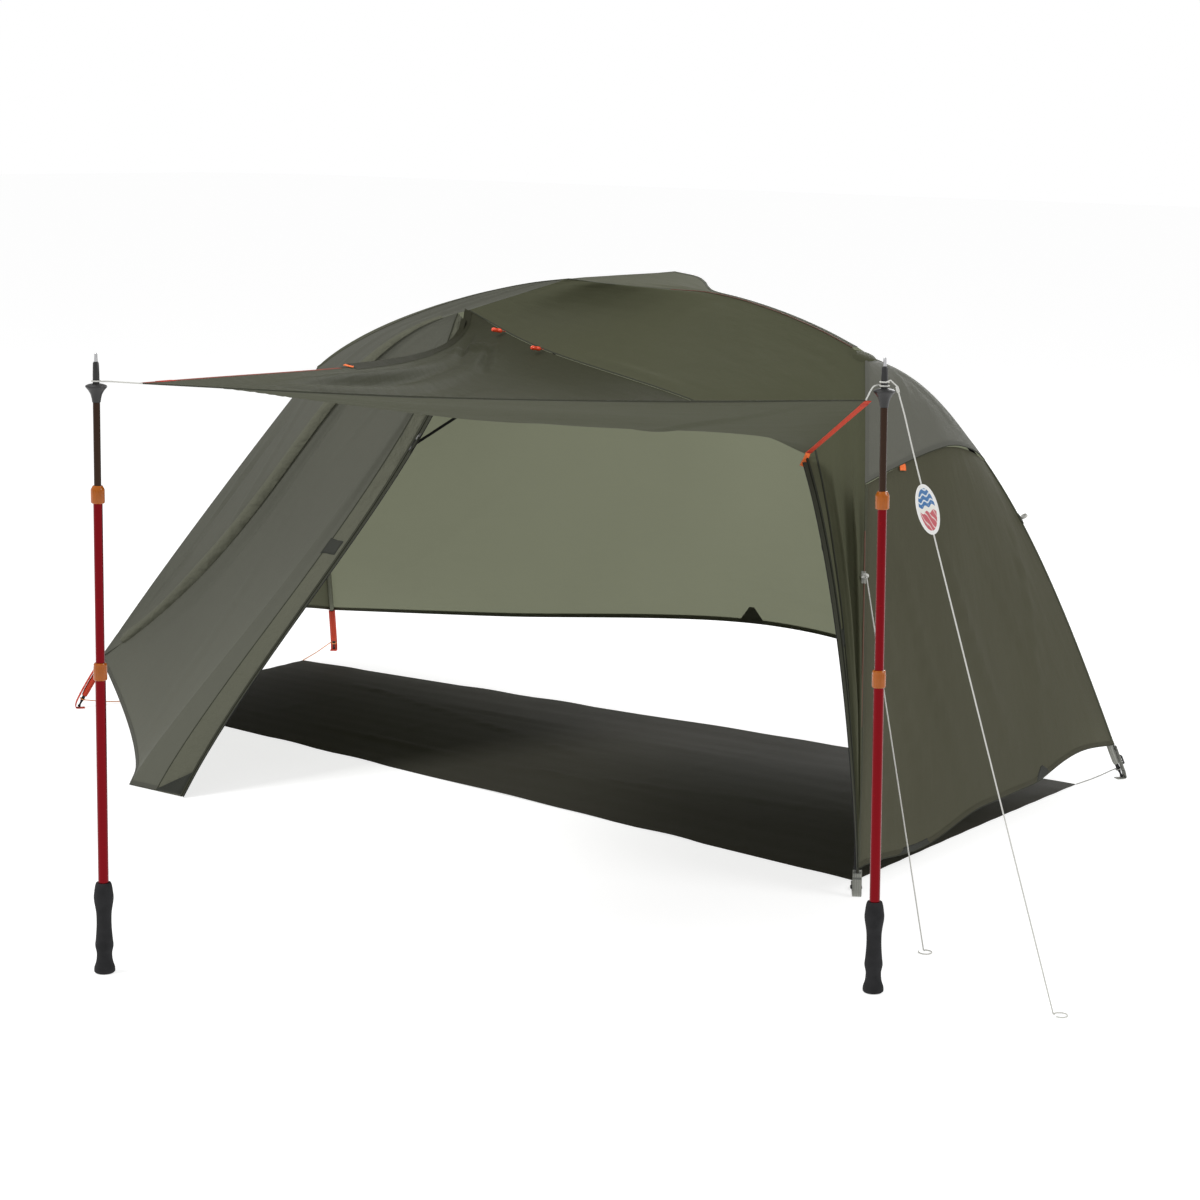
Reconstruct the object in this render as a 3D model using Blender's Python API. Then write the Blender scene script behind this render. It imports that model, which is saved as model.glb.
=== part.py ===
"""Solo backpacking tent, pitched with its door held out as an awning by two walking poles.

Frame: X along the sleeper with the head end at +X, the door side at -Y, Z up.
The origin is the middle of the groundsheet on the ground. All lengths are metres.
"""
import math

import bmesh
import bpy
import numpy as np
from mathutils import Vector

# Floor
FLOOR_LENGTH = 2.24
FLOOR_HEAD_WIDTH = 0.975
FLOOR_FOOT_WIDTH = 0.66
FLOOR_SHIFT = -0.020
FLOOR_END_BAY = 0.004
FLOOR_THICKNESS = 0.0016

# Frame of hubbed poles; a leg's foot is where its tip stands
POLE_RADIUS = 0.00435
FERRULE_RADIUS = 0.0056
FERRULE_LENGTH = 0.075
HUB_REACH = 0.022
HUB_RADIUS = 0.0068
HUB_X = 0.80
POLE_SIDES = 8
POLE_STATION = 0.055
RIDGE_SECTIONS = 4
TIP_LENGTH = 0.020
TIP_RADIUS = 0.0038
TIP_NECK_RADIUS = 0.0024
TIP_INSET = 0.011
FOOT_HUB_HEIGHT = 0.826
HEAD_HUB_HEIGHT = 0.988
RIDGE_HANDLES = ((-0.677, 0.962), (0.136, 1.288))
FOOT_STAKE = (1.160, 0.480)
HEAD_STAKE = (1.180, 0.600)
FOOT_LEG_SHARES = (0.020, 0.958)
FOOT_LEG_HEIGHTS = (0.815, 0.110)
HEAD_LEG_SHARES = (0.436, 0.666)
HEAD_LEG_HEIGHTS = (0.849, 0.532)
BROW_X = 0.16
BROW_HALF_LENGTH = 0.204
BROW_HEIGHT = 1.122
BROW_BEND = 0.004
BROW_INSET = 0.006
BROW_CLEARANCE = 0.0163
SWIVEL_RADIUS = 0.009
RIDGE_DIP_SPAN = 0.40

# Fly sheet: its seam curves are the lines where its panels are sewn together
FLY_THICKNESS = 0.0016
SHOULDER_HANDLES = ((0.16, 0.02, 0.115), (-0.34, -0.06, -0.035), (0.12, 0.005, -0.008), (-0.09, 0.05, 0.004))
RIDGE_SEAM_X = 0.415
RIDGE_SEAM_OFFSET = 0.010
SEAM_GAP = 0.00048
VALLEY_GAP = 0.0009
TAPE_GAP = 0.0009
FRAME_GAP = 0.0008
RIDGE_GAP = 0.0042
HUB_GAP = 0.0009
CREASE_SETBACK = 0.0105
FOOT_CORNER_LIFT = 0.125
HEAD_REAR_CORNER_LIFT = 0.082
HEAD_FRONT_CORNER_LIFT = 0.052
REAR_HEM_LEFT = (-0.55, 0.445, 0.178)
REAR_HEM_MIDDLE = (0.26, 0.455, 0.262)
REAR_HEM_RIGHT = (0.75, 0.490, 0.205)
REAR_BOW = 0.012
FOOT_BOW = 0.012
FOOT_HEM_RISE = 0.05
DOOR_TOP_LEFT = (-0.094, -0.240, 1.040)
DOOR_TOP_MIDDLE = (0.160, -0.300, 0.974)
DOOR_TOP_QUARTER = (0.590, -0.350, 0.900)
DOOR_TOP_RIGHT = (0.845, -0.302, 0.807)
CREASE_HANDLES = ((-0.470, -0.325, 0.955), (-0.520, -0.345, 0.520))
DOOR_STAKE_LEFT = (-0.507, -0.908)
DOOR_TIP_LEFT = (-0.346, -0.906)
DOOR_TIP_LIFT = 0.0020
LEFT_ZIP_HANDLES = ((-0.165, -0.260, 0.700), (-0.270, -0.740, 0.330))
RIGHT_ZIP_HANDLES = ((1.010, -0.440, 0.640), (1.120, -0.535, 0.330))
RIGHT_ZIP_FOOT = (1.170, -0.585, 0.045)
VESTIBULE_HEM_HANDLES = ((0.10, -0.05, -0.05), (-0.10, 0.16, 0.0))
FOLD_DEPTH = 0.008
FOLD_COUNT = 2.5
HOOD_EDGE_HEIGHT = 0.750
HOOD_PEAK = (1.010, 0.809)
HOOD_SWELL = 0.018
HOOD_INSET = 0.0088
HOOD_TUCK = 0.004
WALL_GAP = 0.0025
HEAD_HEM_HEIGHT = 0.070
HEAD_HEM_DROP = 0.028
HEAD_HEM_ARCH = 0.026

BROW_INFLUENCE = 0.20
HUB_TRIM = 0.028
PATCH_TRIM = 0.020
VESTIBULE_TRIM = 0.02
VESTIBULE_ROWS = 18
HOOD_COLUMNS = 10
LEG_STEPS = 12
FOLD_STEPS = 6
SHOULDER_STEPS = 9
RIDGE_SEAM_STEPS = 25
DOOR_STEPS = 11

# Awning and its walking poles
LEFT_AWNING_DROP = 0.051
RIGHT_AWNING_DROP = 0.069
AWNING_BELLY = 0.080
AWNING_EDGE_SPAN = 0.15
AWNING_EDGE_SLACK = 0.43
AWNING_BELLY_SLACK = 0.85
AWNING_EDGE_SAG = 0.075
AWNING_FRONT_SAG = 0.012
AWNING_PLEAT = 0.008
PLEAT_COUNT = 4
AWNING_ROWS = 14
LEFT_POLE_BASE = (0.389, -1.813)
RIGHT_POLE_BASE = (1.483, -1.052)
LEFT_POLE_LEAN = (0.004, 0.003)
RIGHT_POLE_LEAN = (-0.016, -0.012)
LEFT_POLE_HEIGHT = 1.076
RIGHT_POLE_HEIGHT = 1.094
LEFT_CORNER_OFFSET = (0.046, 0.062)
RIGHT_CORNER_OFFSET = (-0.018, -0.031)
BASKET_BELOW_TIP = 0.051

# Walking pole
POLE_GRIP_LENGTH = 0.162
POLE_GRIP_RADIUS = 0.0170
UPPER_SHAFT_RADIUS = 0.0090
MIDDLE_SHAFT_RADIUS = 0.0078
LOWER_SHAFT_RADIUS = 0.0060
SHAFT_WALL = 0.0007
SHAFT_CLEARANCE = 0.0004
LOCK_LENGTH = 0.030
LOCK_RADIUS = 0.0118
UPPER_LOCK_BELOW_TIP = 0.526
LOWER_LOCK_BELOW_TIP = 0.222
SHAFT_HIDDEN = 0.180
BASKET_RADIUS = 0.0182
BASKET_RIM = 0.004

# Webbing, cords and trim
WEBBING_WIDTH = 0.018
WEBBING_THICKNESS = 0.0016
CORNER_CORD_RADIUS = 0.0012
GUY_RADIUS = 0.0013
POLE_GUY_END = (1.780, -0.960)
SIDE_GUY_END = (1.440, -0.800)
FRONT_CLIP_HEIGHT = 0.578
REAR_CLIP_HEIGHT = 0.616
TAG_LENGTH = 0.086
TAG_WIDTH = 0.036
TAG_THICKNESS = 0.0016
TAG_DROP = 0.210

TAG_GAP = 0.0004
GUY_LOOP = 0.012
GUY_LEAD = 0.004
GUY_OVER_BASKET = 0.004
GUY_FALL = 0.005
CLIP_RADIUS = 0.0085
CLIP_HOLE = 0.0050
CLIP_WIDTH = 0.006
CLIP_STANDOFF = 0.0
CORD_GAP = 0.0006
CORD_START_GAP = 0.0008
CORD_RING_HEIGHT = 0.022
CORD_REST_GAP = 0.0002
CORD_LEAD = 0.012
CORD_SAG = 0.002
STRAP_GAP = 0.0024
STRAP_TAB = 0.022
STRAP_BEND_HEIGHT = 0.016
STRAP_BEND_INSET = 0.004
STRAP_BEND_LIFT = 0.0012
STRAP_FLOOR_GAP = 0.0045
BUCKLE_HALF = (0.012, 0.012, 0.0020)
BUCKLE_SLOT = (0.006, 0.0075)
BUCKLE_INSET = 0.060
BUCKLE_HEIGHT = 0.045
BUCKLE_STRAP_GAP = 0.0004
INNER_STRAP_HEIGHT = 0.459
STRAP_HIGH_INSET = 0.0145
STRAP_HIGH_GAP = 0.0085
STRAP_LOW_GAP = 0.0043
INNER_STRAP_WIDTH = 0.007
INNER_STRAP_THICKNESS = 0.0015
ZIP_WIDTH = 0.012
SLIDER_SIZE = (0.010, 0.007, 0.004)
SLIDER_GAP = 0.00092
LEFT_SLIDER_SHARE = 0.24
RIGHT_SLIDER_SHARE = 0.22
LEFT_SLIDER_STOP = 0.45
RIGHT_SLIDER_STOP = 0.42
RIGHT_ZIP_TRIM = 0.03
AWNING_WEBBING_WIDTH = 0.011
WEBBING_INSET = 0.012
LEFT_TOGGLE_SHARE = 0.15
RIGHT_TOGGLE_SHARE = 0.285
TOGGLE_STANDOFF = 0.0019
TOGGLE_OUTSTAND = 0.0022
TOGGLE_RISE = 0.16
TOGGLE_NECK = 0.0012
TOGGLE_CORD = 0.012
TOGGLE_RADIUS = 0.0048
TOGGLE_LENGTH = 0.026
GRIP_CAP_RADIUS = 0.0182
GRIP_SEAT = 0.030
GRIP_SHAPE = ((0.136, 0.84), (0.222, 0.79), (0.302, 0.93), (0.383, 0.86), (0.494, 0.78), (0.586, 0.76),
              (0.679, 0.80), (0.821, 1.00), (0.907, 0.94))
FERRULE_TIP_RADIUS = 0.0056
FERRULE_TOP_RADIUS = 0.0050
STEEL_RADIUS = 0.0030
BASKET_DEPTH = 0.031
TIE_LEAD = 0.005
TIE_OVER_BASKET = 0.003
TIE_FALL = 0.001
TIE_STEEP_GAP = 0.4
GUY_RING_BELOW_TIP = 0.040
AWNING_RING_BELOW_TIP = 0.0465

GAP = 0.0003

MATERIALS = {
    "fly_olive": ((0.062, 0.066, 0.040), 0.55, 0.0),
    "fly_light": ((0.110, 0.112, 0.090), 0.55, 0.0),
    "groundsheet_black": ((0.022, 0.021, 0.017), 0.50, 0.0),
    "pole_black": ((0.016, 0.016, 0.016), 0.35, 0.6),
    "hub_black": ((0.020, 0.020, 0.020), 0.45, 0.0),
    "webbing_red": ((0.560, 0.045, 0.020), 0.70, 0.0),
    "webbing_grey": ((0.250, 0.250, 0.230), 0.70, 0.0),
    "binding_black": ((0.020, 0.021, 0.013), 0.60, 0.0),
    "cord_orange": ((0.700, 0.240, 0.060), 0.60, 0.0),
    "cord_white": ((0.620, 0.620, 0.580), 0.60, 0.0),
    "tag_white": ((0.750, 0.750, 0.730), 0.40, 0.0),
    "shaft_red": ((0.300, 0.006, 0.015), 0.25, 0.7),
    "shaft_dark": ((0.080, 0.062, 0.055), 0.25, 0.8),
    "lock_amber": ((0.750, 0.210, 0.010), 0.25, 0.0),
    "grip_foam": ((0.018, 0.018, 0.018), 0.85, 0.0),
    "tip_steel": ((0.550, 0.550, 0.560), 0.30, 1.0),
    "toggle_red": ((0.700, 0.050, 0.015), 0.40, 0.0),
}


def vec(x, y, z=0.0):
    return np.array([x, y, z], float)


def unit(v):
    return v / np.linalg.norm(v)


def bezier(p0, p1, p2, p3, t):
    s = 1.0 - t
    return s**3 * p0 + 3 * s**2 * t * p1 + 3 * s * t**2 * p2 + t**3 * p3


class Route:
    """A curve through close samples, read by the share of its length."""

    def __init__(self, samples):
        self.samples = np.array(samples, float)
        steps = np.linalg.norm(np.diff(self.samples, axis=0), axis=1)
        self.travel = np.concatenate([[0.0], np.cumsum(steps)])
        self.length = self.travel[-1]

    def at(self, share):
        reach = np.clip(share, 0.0, 1.0) * self.length
        return np.array([np.interp(reach, self.travel, self.samples[:, k]) for k in range(3)])

    def direction(self, share):
        step = 0.002
        return unit(self.at(min(share + step, 1.0)) - self.at(max(share - step, 0.0)))

    def part(self, start, stop, count):
        return [self.at(start + (stop - start) * i / count) for i in range(count + 1)]

    def share_at_height(self, height):
        """The share at which a falling route passes a height."""
        return float(np.interp(-height, -self.samples[:, 2], self.travel) / self.length)

    def reversed(self):
        return Route(self.samples[::-1])


def bezier_route(p0, p1, p2, p3, samples=160):
    return Route([bezier(p0, p1, p2, p3, i / samples) for i in range(samples + 1)])


def straight_route(*points):
    return Route(points)


def smooth_route(points, samples=24):
    """A Catmull-Rom curve through the given points."""
    pts = [np.array(p, float) for p in points]
    pts = [2 * pts[0] - pts[1]] + pts + [2 * pts[-1] - pts[-2]]
    line = []
    for a, b, c, d in zip(pts, pts[1:], pts[2:], pts[3:]):
        for i in range(samples):
            t = i / samples
            line.append(0.5 * (2 * b + (c - a) * t + (2 * a - 5 * b + 4 * c - d) * t**2
                               + (3 * b - a - 3 * c + d) * t**3))
    line.append(pts[-2])
    return Route(line)


# Meshes and objects

def material(name):
    found = bpy.data.materials.get(name)
    if found:
        return found
    colour, roughness, metallic = MATERIALS[name]
    made = bpy.data.materials.new(name)
    made.use_nodes = True
    shader = made.node_tree.nodes["Principled BSDF"]
    shader.inputs["Base Color"].default_value = (*colour, 1.0)
    shader.inputs["Roughness"].default_value = roughness
    shader.inputs["Metallic"].default_value = metallic
    made.diffuse_color = (*colour, 1.0)
    return made


def add_object(name, bm, finish, sharp=35.0):
    bmesh.ops.recalc_face_normals(bm, faces=bm.faces)
    mesh = bpy.data.meshes.new(name)
    bm.to_mesh(mesh)
    bm.free()
    mesh.shade_smooth()
    mesh.set_sharp_from_angle(angle=math.radians(sharp))
    mesh.materials.append(material(finish))
    made = bpy.data.objects.new(name, mesh)
    bpy.context.scene.collection.objects.link(made)
    return made


def add_rings(bm, rings):
    """Joins closed rings of equal count into one capped body."""
    loops = [[bm.verts.new(p) for p in ring] for ring in rings]
    count = len(loops[0])
    for a, b in zip(loops, loops[1:]):
        for i in range(count):
            j = (i + 1) % count
            bm.faces.new((a[i], a[j], b[j], b[i]))
    bm.faces.new(loops[0][::-1])
    bm.faces.new(loops[-1])


def side_vectors(route_points):
    """Two vectors square to the route at each point, carried along without twist."""
    points = [np.array(p) for p in route_points]
    tangents = []
    for i in range(len(points)):
        ahead = points[min(i + 1, len(points) - 1)]
        behind = points[max(i - 1, 0)]
        tangents.append(unit(ahead - behind))
    seed = vec(0, 0, 1) if abs(tangents[0][2]) < 0.9 else vec(1, 0, 0)
    side = unit(seed - tangents[0] * (seed @ tangents[0]))
    pairs = []
    for tangent in tangents:
        side = unit(side - tangent * (side @ tangent))
        pairs.append((side, np.cross(tangent, side)))
    return pairs


def rod_rings(points, radius, sides):
    rings = []
    for p, (a, b) in zip(points, side_vectors(points)):
        turn = [2 * math.pi * k / sides for k in range(sides)]
        rings.append([p + radius * (math.cos(t) * a + math.sin(t) * b) for t in turn])
    return rings


def add_rod(bm, points, radius, sides=10):
    add_rings(bm, rod_rings(points, radius, sides))


def add_ribbon(bm, points, across, width, thickness):
    """A flat strap whose middle follows the points; across gives its width direction."""
    rings = []
    for i, p in enumerate(points):
        ahead = points[min(i + 1, len(points) - 1)]
        behind = points[max(i - 1, 0)]
        tangent = unit(ahead - behind)
        wide = across[i] if isinstance(across, list) else across
        wide = unit(wide - tangent * (wide @ tangent)) * width / 2
        thick = unit(np.cross(tangent, wide)) * thickness / 2
        rings.append([p + wide + thick, p - wide + thick, p - wide - thick, p + wide - thick])
    add_rings(bm, rings)


def axis_frame(axis):
    """Two vectors that complete an axis to a right-handed frame."""
    seed = vec(1, 0, 0) if abs(axis[0]) < 0.9 else vec(0, 1, 0)
    a = unit(seed - axis * (seed @ axis))
    return a, np.cross(axis, a)


def add_turned(bm, profile, base, axis, sides=16):
    """Turns a closed profile of (radius, height) round an axis.

    A profile that starts and ends on the axis is solid. One that closes off the axis is a tube.
    """
    a, b = axis_frame(axis)
    solid = profile[0][0] == 0.0
    loops = []
    for radius, height in profile:
        centre = base + axis * height
        if radius == 0.0:
            loops.append([bm.verts.new(centre)])
            continue
        ring = []
        for k in range(sides):
            turn = 2 * math.pi * k / sides
            ring.append(bm.verts.new(centre + radius * (math.cos(turn) * a + math.sin(turn) * b)))
        loops.append(ring)
    pairs = list(zip(loops, loops[1:]))
    if not solid:
        pairs.append((loops[-1], loops[0]))
    for low, high in pairs:
        for i in range(sides):
            j = (i + 1) % sides
            corners = []
            for ring, index in ((low, i), (low, j), (high, j), (high, i)):
                vertex = ring[index % len(ring)]
                if vertex not in corners:
                    corners.append(vertex)
            bm.faces.new(corners)


def tube_profile(outer, inner, low, high):
    return [(outer, low), (outer, high), (inner, high), (inner, low)]


def add_box(bm, centre, half, axes):
    """A block with half sizes along three given unit vectors."""
    corners = []
    for x in (-1, 1):
        for y in (-1, 1):
            for z in (-1, 1):
                corners.append(bm.verts.new(centre + x * half[0] * axes[0] + y * half[1] * axes[1]
                                            + z * half[2] * axes[2]))
    bmesh.ops.convex_hull(bm, input=corners)


def grid_normals(grid):
    along = np.gradient(grid, axis=0)
    across = np.gradient(grid, axis=1)
    normals = np.cross(along, across)
    return normals / np.linalg.norm(normals, axis=2, keepdims=True)


def pull_back(grid, gaps):
    """Moves each edge of a grid inwards; gaps are for the first and last row and column."""
    moved = grid.copy()
    sides = ((0, 1, 0), (-1, -2, 0), (0, 1, 1), (-1, -2, 1))
    for gap, (edge, inner, axis) in zip(gaps, sides):
        source = moved if axis == 0 else np.swapaxes(moved, 0, 1)
        step = source[inner] - source[edge]
        size = np.linalg.norm(step, axis=1, keepdims=True)
        source[edge] += step / size * gap
    return moved


def add_sheet(bm, grid, thickness, outward):
    """A cloth panel with a grid on its inner face, thickened towards an outward direction."""
    normals = grid_normals(grid)
    middle = normals[grid.shape[0] // 2, grid.shape[1] // 2]
    if middle @ outward < 0:
        normals = -normals
    outer = grid + normals * thickness
    rows, columns = grid.shape[:2]
    low = [[bm.verts.new(grid[i, j]) for j in range(columns)] for i in range(rows)]
    high = [[bm.verts.new(outer[i, j]) for j in range(columns)] for i in range(rows)]
    for i in range(rows - 1):
        for j in range(columns - 1):
            bm.faces.new((low[i][j], low[i + 1][j], low[i + 1][j + 1], low[i][j + 1]))
            bm.faces.new((high[i][j], high[i][j + 1], high[i + 1][j + 1], high[i + 1][j]))
    rim = [(i, 0) for i in range(rows)] + [(rows - 1, j) for j in range(1, columns)]
    rim += [(i, columns - 1) for i in range(rows - 2, -1, -1)] + [(0, j) for j in range(columns - 2, 0, -1)]
    for (i, j), (k, m) in zip(rim, rim[1:] + rim[:1]):
        bm.faces.new((low[i][j], low[k][m], high[k][m], high[i][j]))


def panel(name, grid, finish, outward, gaps=(SEAM_GAP,) * 4, thickness=FLY_THICKNESS):
    bm = bmesh.new()
    add_sheet(bm, pull_back(grid, gaps), thickness, outward)
    return add_object(name, bm, finish)


def ruled(edge_a, edge_b, columns, bow=None):
    """Straight rulings between two lists of points; bow(i, share) adds a vector."""
    rows = []
    for i, (a, b) in enumerate(zip(edge_a, edge_b)):
        row = []
        for j in range(columns + 1):
            share = j / columns
            point = a + (b - a) * share
            if bow:
                point = point + bow(i / (len(edge_a) - 1), share)
            row.append(point)
        rows.append(row)
    return np.array(rows)


def coons(start, stop, low, high):
    """Fills four edges: start and stop run across, low and high run along."""
    rows, columns = len(low), len(start)
    grid = np.zeros((rows, columns, 3))
    for i in range(rows):
        u = i / (rows - 1)
        for j in range(columns):
            v = j / (columns - 1)
            blend_u = (1 - u) * start[j] + u * stop[j]
            blend_v = (1 - v) * low[i] + v * high[i]
            corners = ((1 - u) * (1 - v) * low[0] + u * (1 - v) * low[-1]
                       + (1 - u) * v * high[0] + u * v * high[-1])
            grid[i, j] = blend_u + blend_v - corners
    return grid


# Seam curves of the fly

def ridge_route():
    foot = vec(-HUB_X, 0, FOOT_HUB_HEIGHT)
    head = vec(HUB_X, 0, HEAD_HUB_HEIGHT)
    handles = [vec(x, 0, z) for x, z in RIDGE_HANDLES]
    return bezier_route(foot, *handles, head)


def leg_route(end, side):
    """A leg's crease from its hub to the ground; end and side are -1 or 1."""
    top = FOOT_HUB_HEIGHT if end < 0 else HEAD_HUB_HEIGHT
    stake = FOOT_STAKE if end < 0 else HEAD_STAKE
    shares, heights = ((FOOT_LEG_SHARES, FOOT_LEG_HEIGHTS) if end < 0
                       else (HEAD_LEG_SHARES, HEAD_LEG_HEIGHTS))
    hub = vec(end * HUB_X, 0, top)
    foot = vec(end * stake[0], side * stake[1], 0)
    points = []
    for share, height in zip(shares, heights):
        flat = hub + (foot - hub) * share
        points.append(vec(flat[0], flat[1], height))
    return bezier_route(hub, *points, foot)


RIDGE = ridge_route()
LEGS = {(end, side): leg_route(end, side) for end in (-1, 1) for side in (-1, 1)}
BROW_TIPS = {side: vec(BROW_X, side * BROW_HALF_LENGTH, BROW_HEIGHT) for side in (-1, 1)}
FOOT_HUB = RIDGE.at(0.0)
HEAD_HUB = RIDGE.at(1.0)


def ridge_at(x):
    return RIDGE.at(float(np.interp(x, RIDGE.samples[:, 0], RIDGE.travel) / RIDGE.length))


def shoulder(side):
    """The crease from the foot hub over one tip of the brow pole, down to the ridge and along it."""
    tip = BROW_TIPS[side]
    mirror = vec(1, side, 1)
    foot_start, foot_stop, head_start, head_stop = (vec(*handle) * mirror for handle in SHOULDER_HANDLES)
    foot_part = bezier_route(FOOT_HUB, FOOT_HUB + foot_start, tip + foot_stop, tip)
    beside = vec(0, side * RIDGE_SEAM_OFFSET)
    along = [ridge_at(x) + beside for x in np.linspace(RIDGE_SEAM_X, HUB_X, RIDGE_SEAM_STEPS)]
    drop = bezier_route(tip, tip + head_start, along[0] + head_stop, along[0], RIDGE_SEAM_STEPS)
    return foot_part, Route([*drop.samples, *along[1:]])


DOOR_TOP = smooth_route([DOOR_TOP_LEFT, DOOR_TOP_MIDDLE, DOOR_TOP_QUARTER, DOOR_TOP_RIGHT])
FRONT_LEFT_CORNER = LEGS[-1, -1].at(LEGS[-1, -1].share_at_height(FOOT_CORNER_LIFT))
FRONT_CREASE = bezier_route(vec(*DOOR_TOP_LEFT), *(vec(*p) for p in CREASE_HANDLES), FRONT_LEFT_CORNER)
LEFT_ZIP = bezier_route(vec(*DOOR_TOP_LEFT), *(vec(*p) for p in LEFT_ZIP_HANDLES),
                        vec(*DOOR_TIP_LEFT, DOOR_TIP_LIFT))
RIGHT_ZIP = bezier_route(vec(*DOOR_TOP_RIGHT), *(vec(*p) for p in RIGHT_ZIP_HANDLES), vec(*RIGHT_ZIP_FOOT))

def leg_part(end, side, lift):
    """A leg crease's stations from just below its hub to the corner of the fly."""
    route = LEGS[end, side]
    return route.part(HUB_TRIM / route.length, route.share_at_height(lift), LEG_STEPS)


def awning_corners():
    left = pole_point("left", LEFT_POLE_HEIGHT - LEFT_AWNING_DROP) + vec(*LEFT_CORNER_OFFSET)
    right = pole_point("right", RIGHT_POLE_HEIGHT - RIGHT_AWNING_DROP) + vec(*RIGHT_CORNER_OFFSET)
    return left, right


# Walking poles as lines

POLES = {
    "left": (LEFT_POLE_BASE, LEFT_POLE_LEAN, LEFT_POLE_HEIGHT),
    "right": (RIGHT_POLE_BASE, RIGHT_POLE_LEAN, RIGHT_POLE_HEIGHT),
}


def pole_axis(side):
    base, lean, height = POLES[side]
    foot = vec(*base, GRIP_CAP_RADIUS * math.hypot(*lean) / height)
    tip = vec(*base) + vec(*lean, height)
    return foot, unit(tip - foot), np.linalg.norm(tip - foot)


def pole_point(side, height):
    foot, axis, _ = pole_axis(side)
    return foot + axis * height / axis[2]


# Groundsheet

def make_groundsheet():
    columns, rows = 16, 8
    bm = bmesh.new()
    grid = np.zeros((columns + 1, rows + 1, 3))
    for i in range(columns + 1):
        u = i / columns
        width = FLOOR_FOOT_WIDTH + (FLOOR_HEAD_WIDTH - FLOOR_FOOT_WIDTH) * u
        for j in range(rows + 1):
            v = j / rows
            bay = FLOOR_END_BAY * math.sin(math.pi * v) * (1 if i == 0 else -1 if i == columns else 0)
            grid[i, j] = vec(-FLOOR_LENGTH / 2 + FLOOR_LENGTH * u + bay, FLOOR_SHIFT + (v - 0.5) * width)
    add_sheet(bm, grid, FLOOR_THICKNESS, vec(0, 0, 1))
    return add_object("groundsheet", bm, "groundsheet_black")


# Pole frame

def square_away(route, share, outwards):
    """The direction square to a route that is nearest to a wanted one."""
    tangent = route.direction(share)
    return unit(outwards - tangent * (outwards @ tangent))


def corner_outwards(end, side):
    """Halfway between the two walls that meet at a leg."""
    return vec(end, side, 0.3)


def inner_line(route, steps, start, stop, setback, outwards):
    """Points along a crease, set back towards the inside of the tent."""
    points = []
    for i in range(steps + 1):
        share = start + (stop - start) * i / steps
        points.append(route.at(share) - square_away(route, share, outwards) * setback)
    return points


def ridge_line():
    """The ridge pole's middle line, lower under the brow pole that crosses over it."""
    line = inner_line(RIDGE, 60, 0, 1, POLE_RADIUS + RIDGE_GAP, vec(0, 0, 1))
    level = float(np.interp(BROW_X, [point[0] for point in line], [point[2] for point in line]))
    dip = level + POLE_RADIUS + BROW_CLEARANCE - brow_underside()
    for point in line:
        nearness = max(0.0, 1.0 - abs(point[0] - BROW_X) / RIDGE_DIP_SPAN)
        point[2] -= dip * nearness**2 * (3 - 2 * nearness)
    return Route(line)


def brow_underside():
    return BROW_HEIGHT - BROW_BEND - 2 * POLE_RADIUS - FRAME_GAP


def hub_centre(end):
    crease = HEAD_HUB if end > 0 else FOOT_HUB
    return crease - vec(end * 0.004, 0, CREASE_SETBACK + 0.001)


def leg_heading(end, side):
    """The level direction in which a leg runs out from its hub."""
    stake = FOOT_STAKE if end < 0 else HEAD_STAKE
    return unit(vec(end * (stake[0] - HUB_X), side * stake[1]))


def frame_leg(end, side):
    """The leg pole's middle line from its hub's centre to its tip on the ground."""
    route = LEGS[end, side]
    line = inner_line(route, 20, 0.04, 0.95, CREASE_SETBACK, corner_outwards(end, side))
    foot = route.at(1.0) - leg_heading(end, side) * TIP_INSET
    foot[2] = WEBBING_THICKNESS + TIP_RADIUS / 2
    return smooth_route([hub_centre(end)] + line[1:] + [foot])


def frame_ridge():
    line = ridge_line()
    middle = [line.at(0.03 + 0.94 * i / 24) for i in range(25)]
    return smooth_route([hub_centre(-1)] + middle + [hub_centre(1)])


FRAME_RIDGE = frame_ridge()
FRAME_LEGS = {key: frame_leg(*key) for key in LEGS}


def make_hub(name, end):
    """A moulded hub: the hull of three sockets that meet at its centre."""
    bm = bmesh.new()
    arms = [FRAME_LEGS[end, -1], FRAME_LEGS[end, 1]]
    arms.append(FRAME_RIDGE if end < 0 else FRAME_RIDGE.reversed())
    corners = []
    for arm in arms:
        centre = arm.at(HUB_REACH / arm.length)
        along = unit(centre - arm.at(0))
        a, b = axis_frame(along)
        for k in range(10):
            turn = 2 * math.pi * k / 10
            corners.append(bm.verts.new(centre + HUB_RADIUS * (math.cos(turn) * a + math.sin(turn) * b)))
    bmesh.ops.convex_hull(bm, input=corners)
    return add_object(name, bm, "hub_black", sharp=50)


def pole_rod(bm, route, start, stop, joints, tip=()):
    """A pole between two reaches along its route, thicker where a ferrule joins two sections."""
    half = FERRULE_LENGTH / 2
    step = 0.0005
    stations = [(start, POLE_RADIUS)]
    for joint in joints:
        stations += [(joint - half - step, POLE_RADIUS), (joint - half, FERRULE_RADIUS),
                     (joint + half, FERRULE_RADIUS), (joint + half + step, POLE_RADIUS)]
    stations += [(stop, POLE_RADIUS)] + list(tip)
    full = []
    for (a, radius_a), (b, radius_b) in zip(stations, stations[1:]):
        pieces = max(1, math.ceil((b - a) / POLE_STATION))
        for k in range(pieces):
            share = k / pieces
            full.append((a + (b - a) * share, radius_a + (radius_b - radius_a) * share))
    full.append(stations[-1])
    points = [route.at(reach / route.length) for reach, _ in full]
    rings = []
    for p, (a, b), (_, radius) in zip(points, side_vectors(points), full):
        turns = [2 * math.pi * k / POLE_SIDES for k in range(POLE_SIDES)]
        rings.append([p + radius * (math.cos(t) * a + math.sin(t) * b) for t in turns])
    add_rings(bm, rings)


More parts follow.
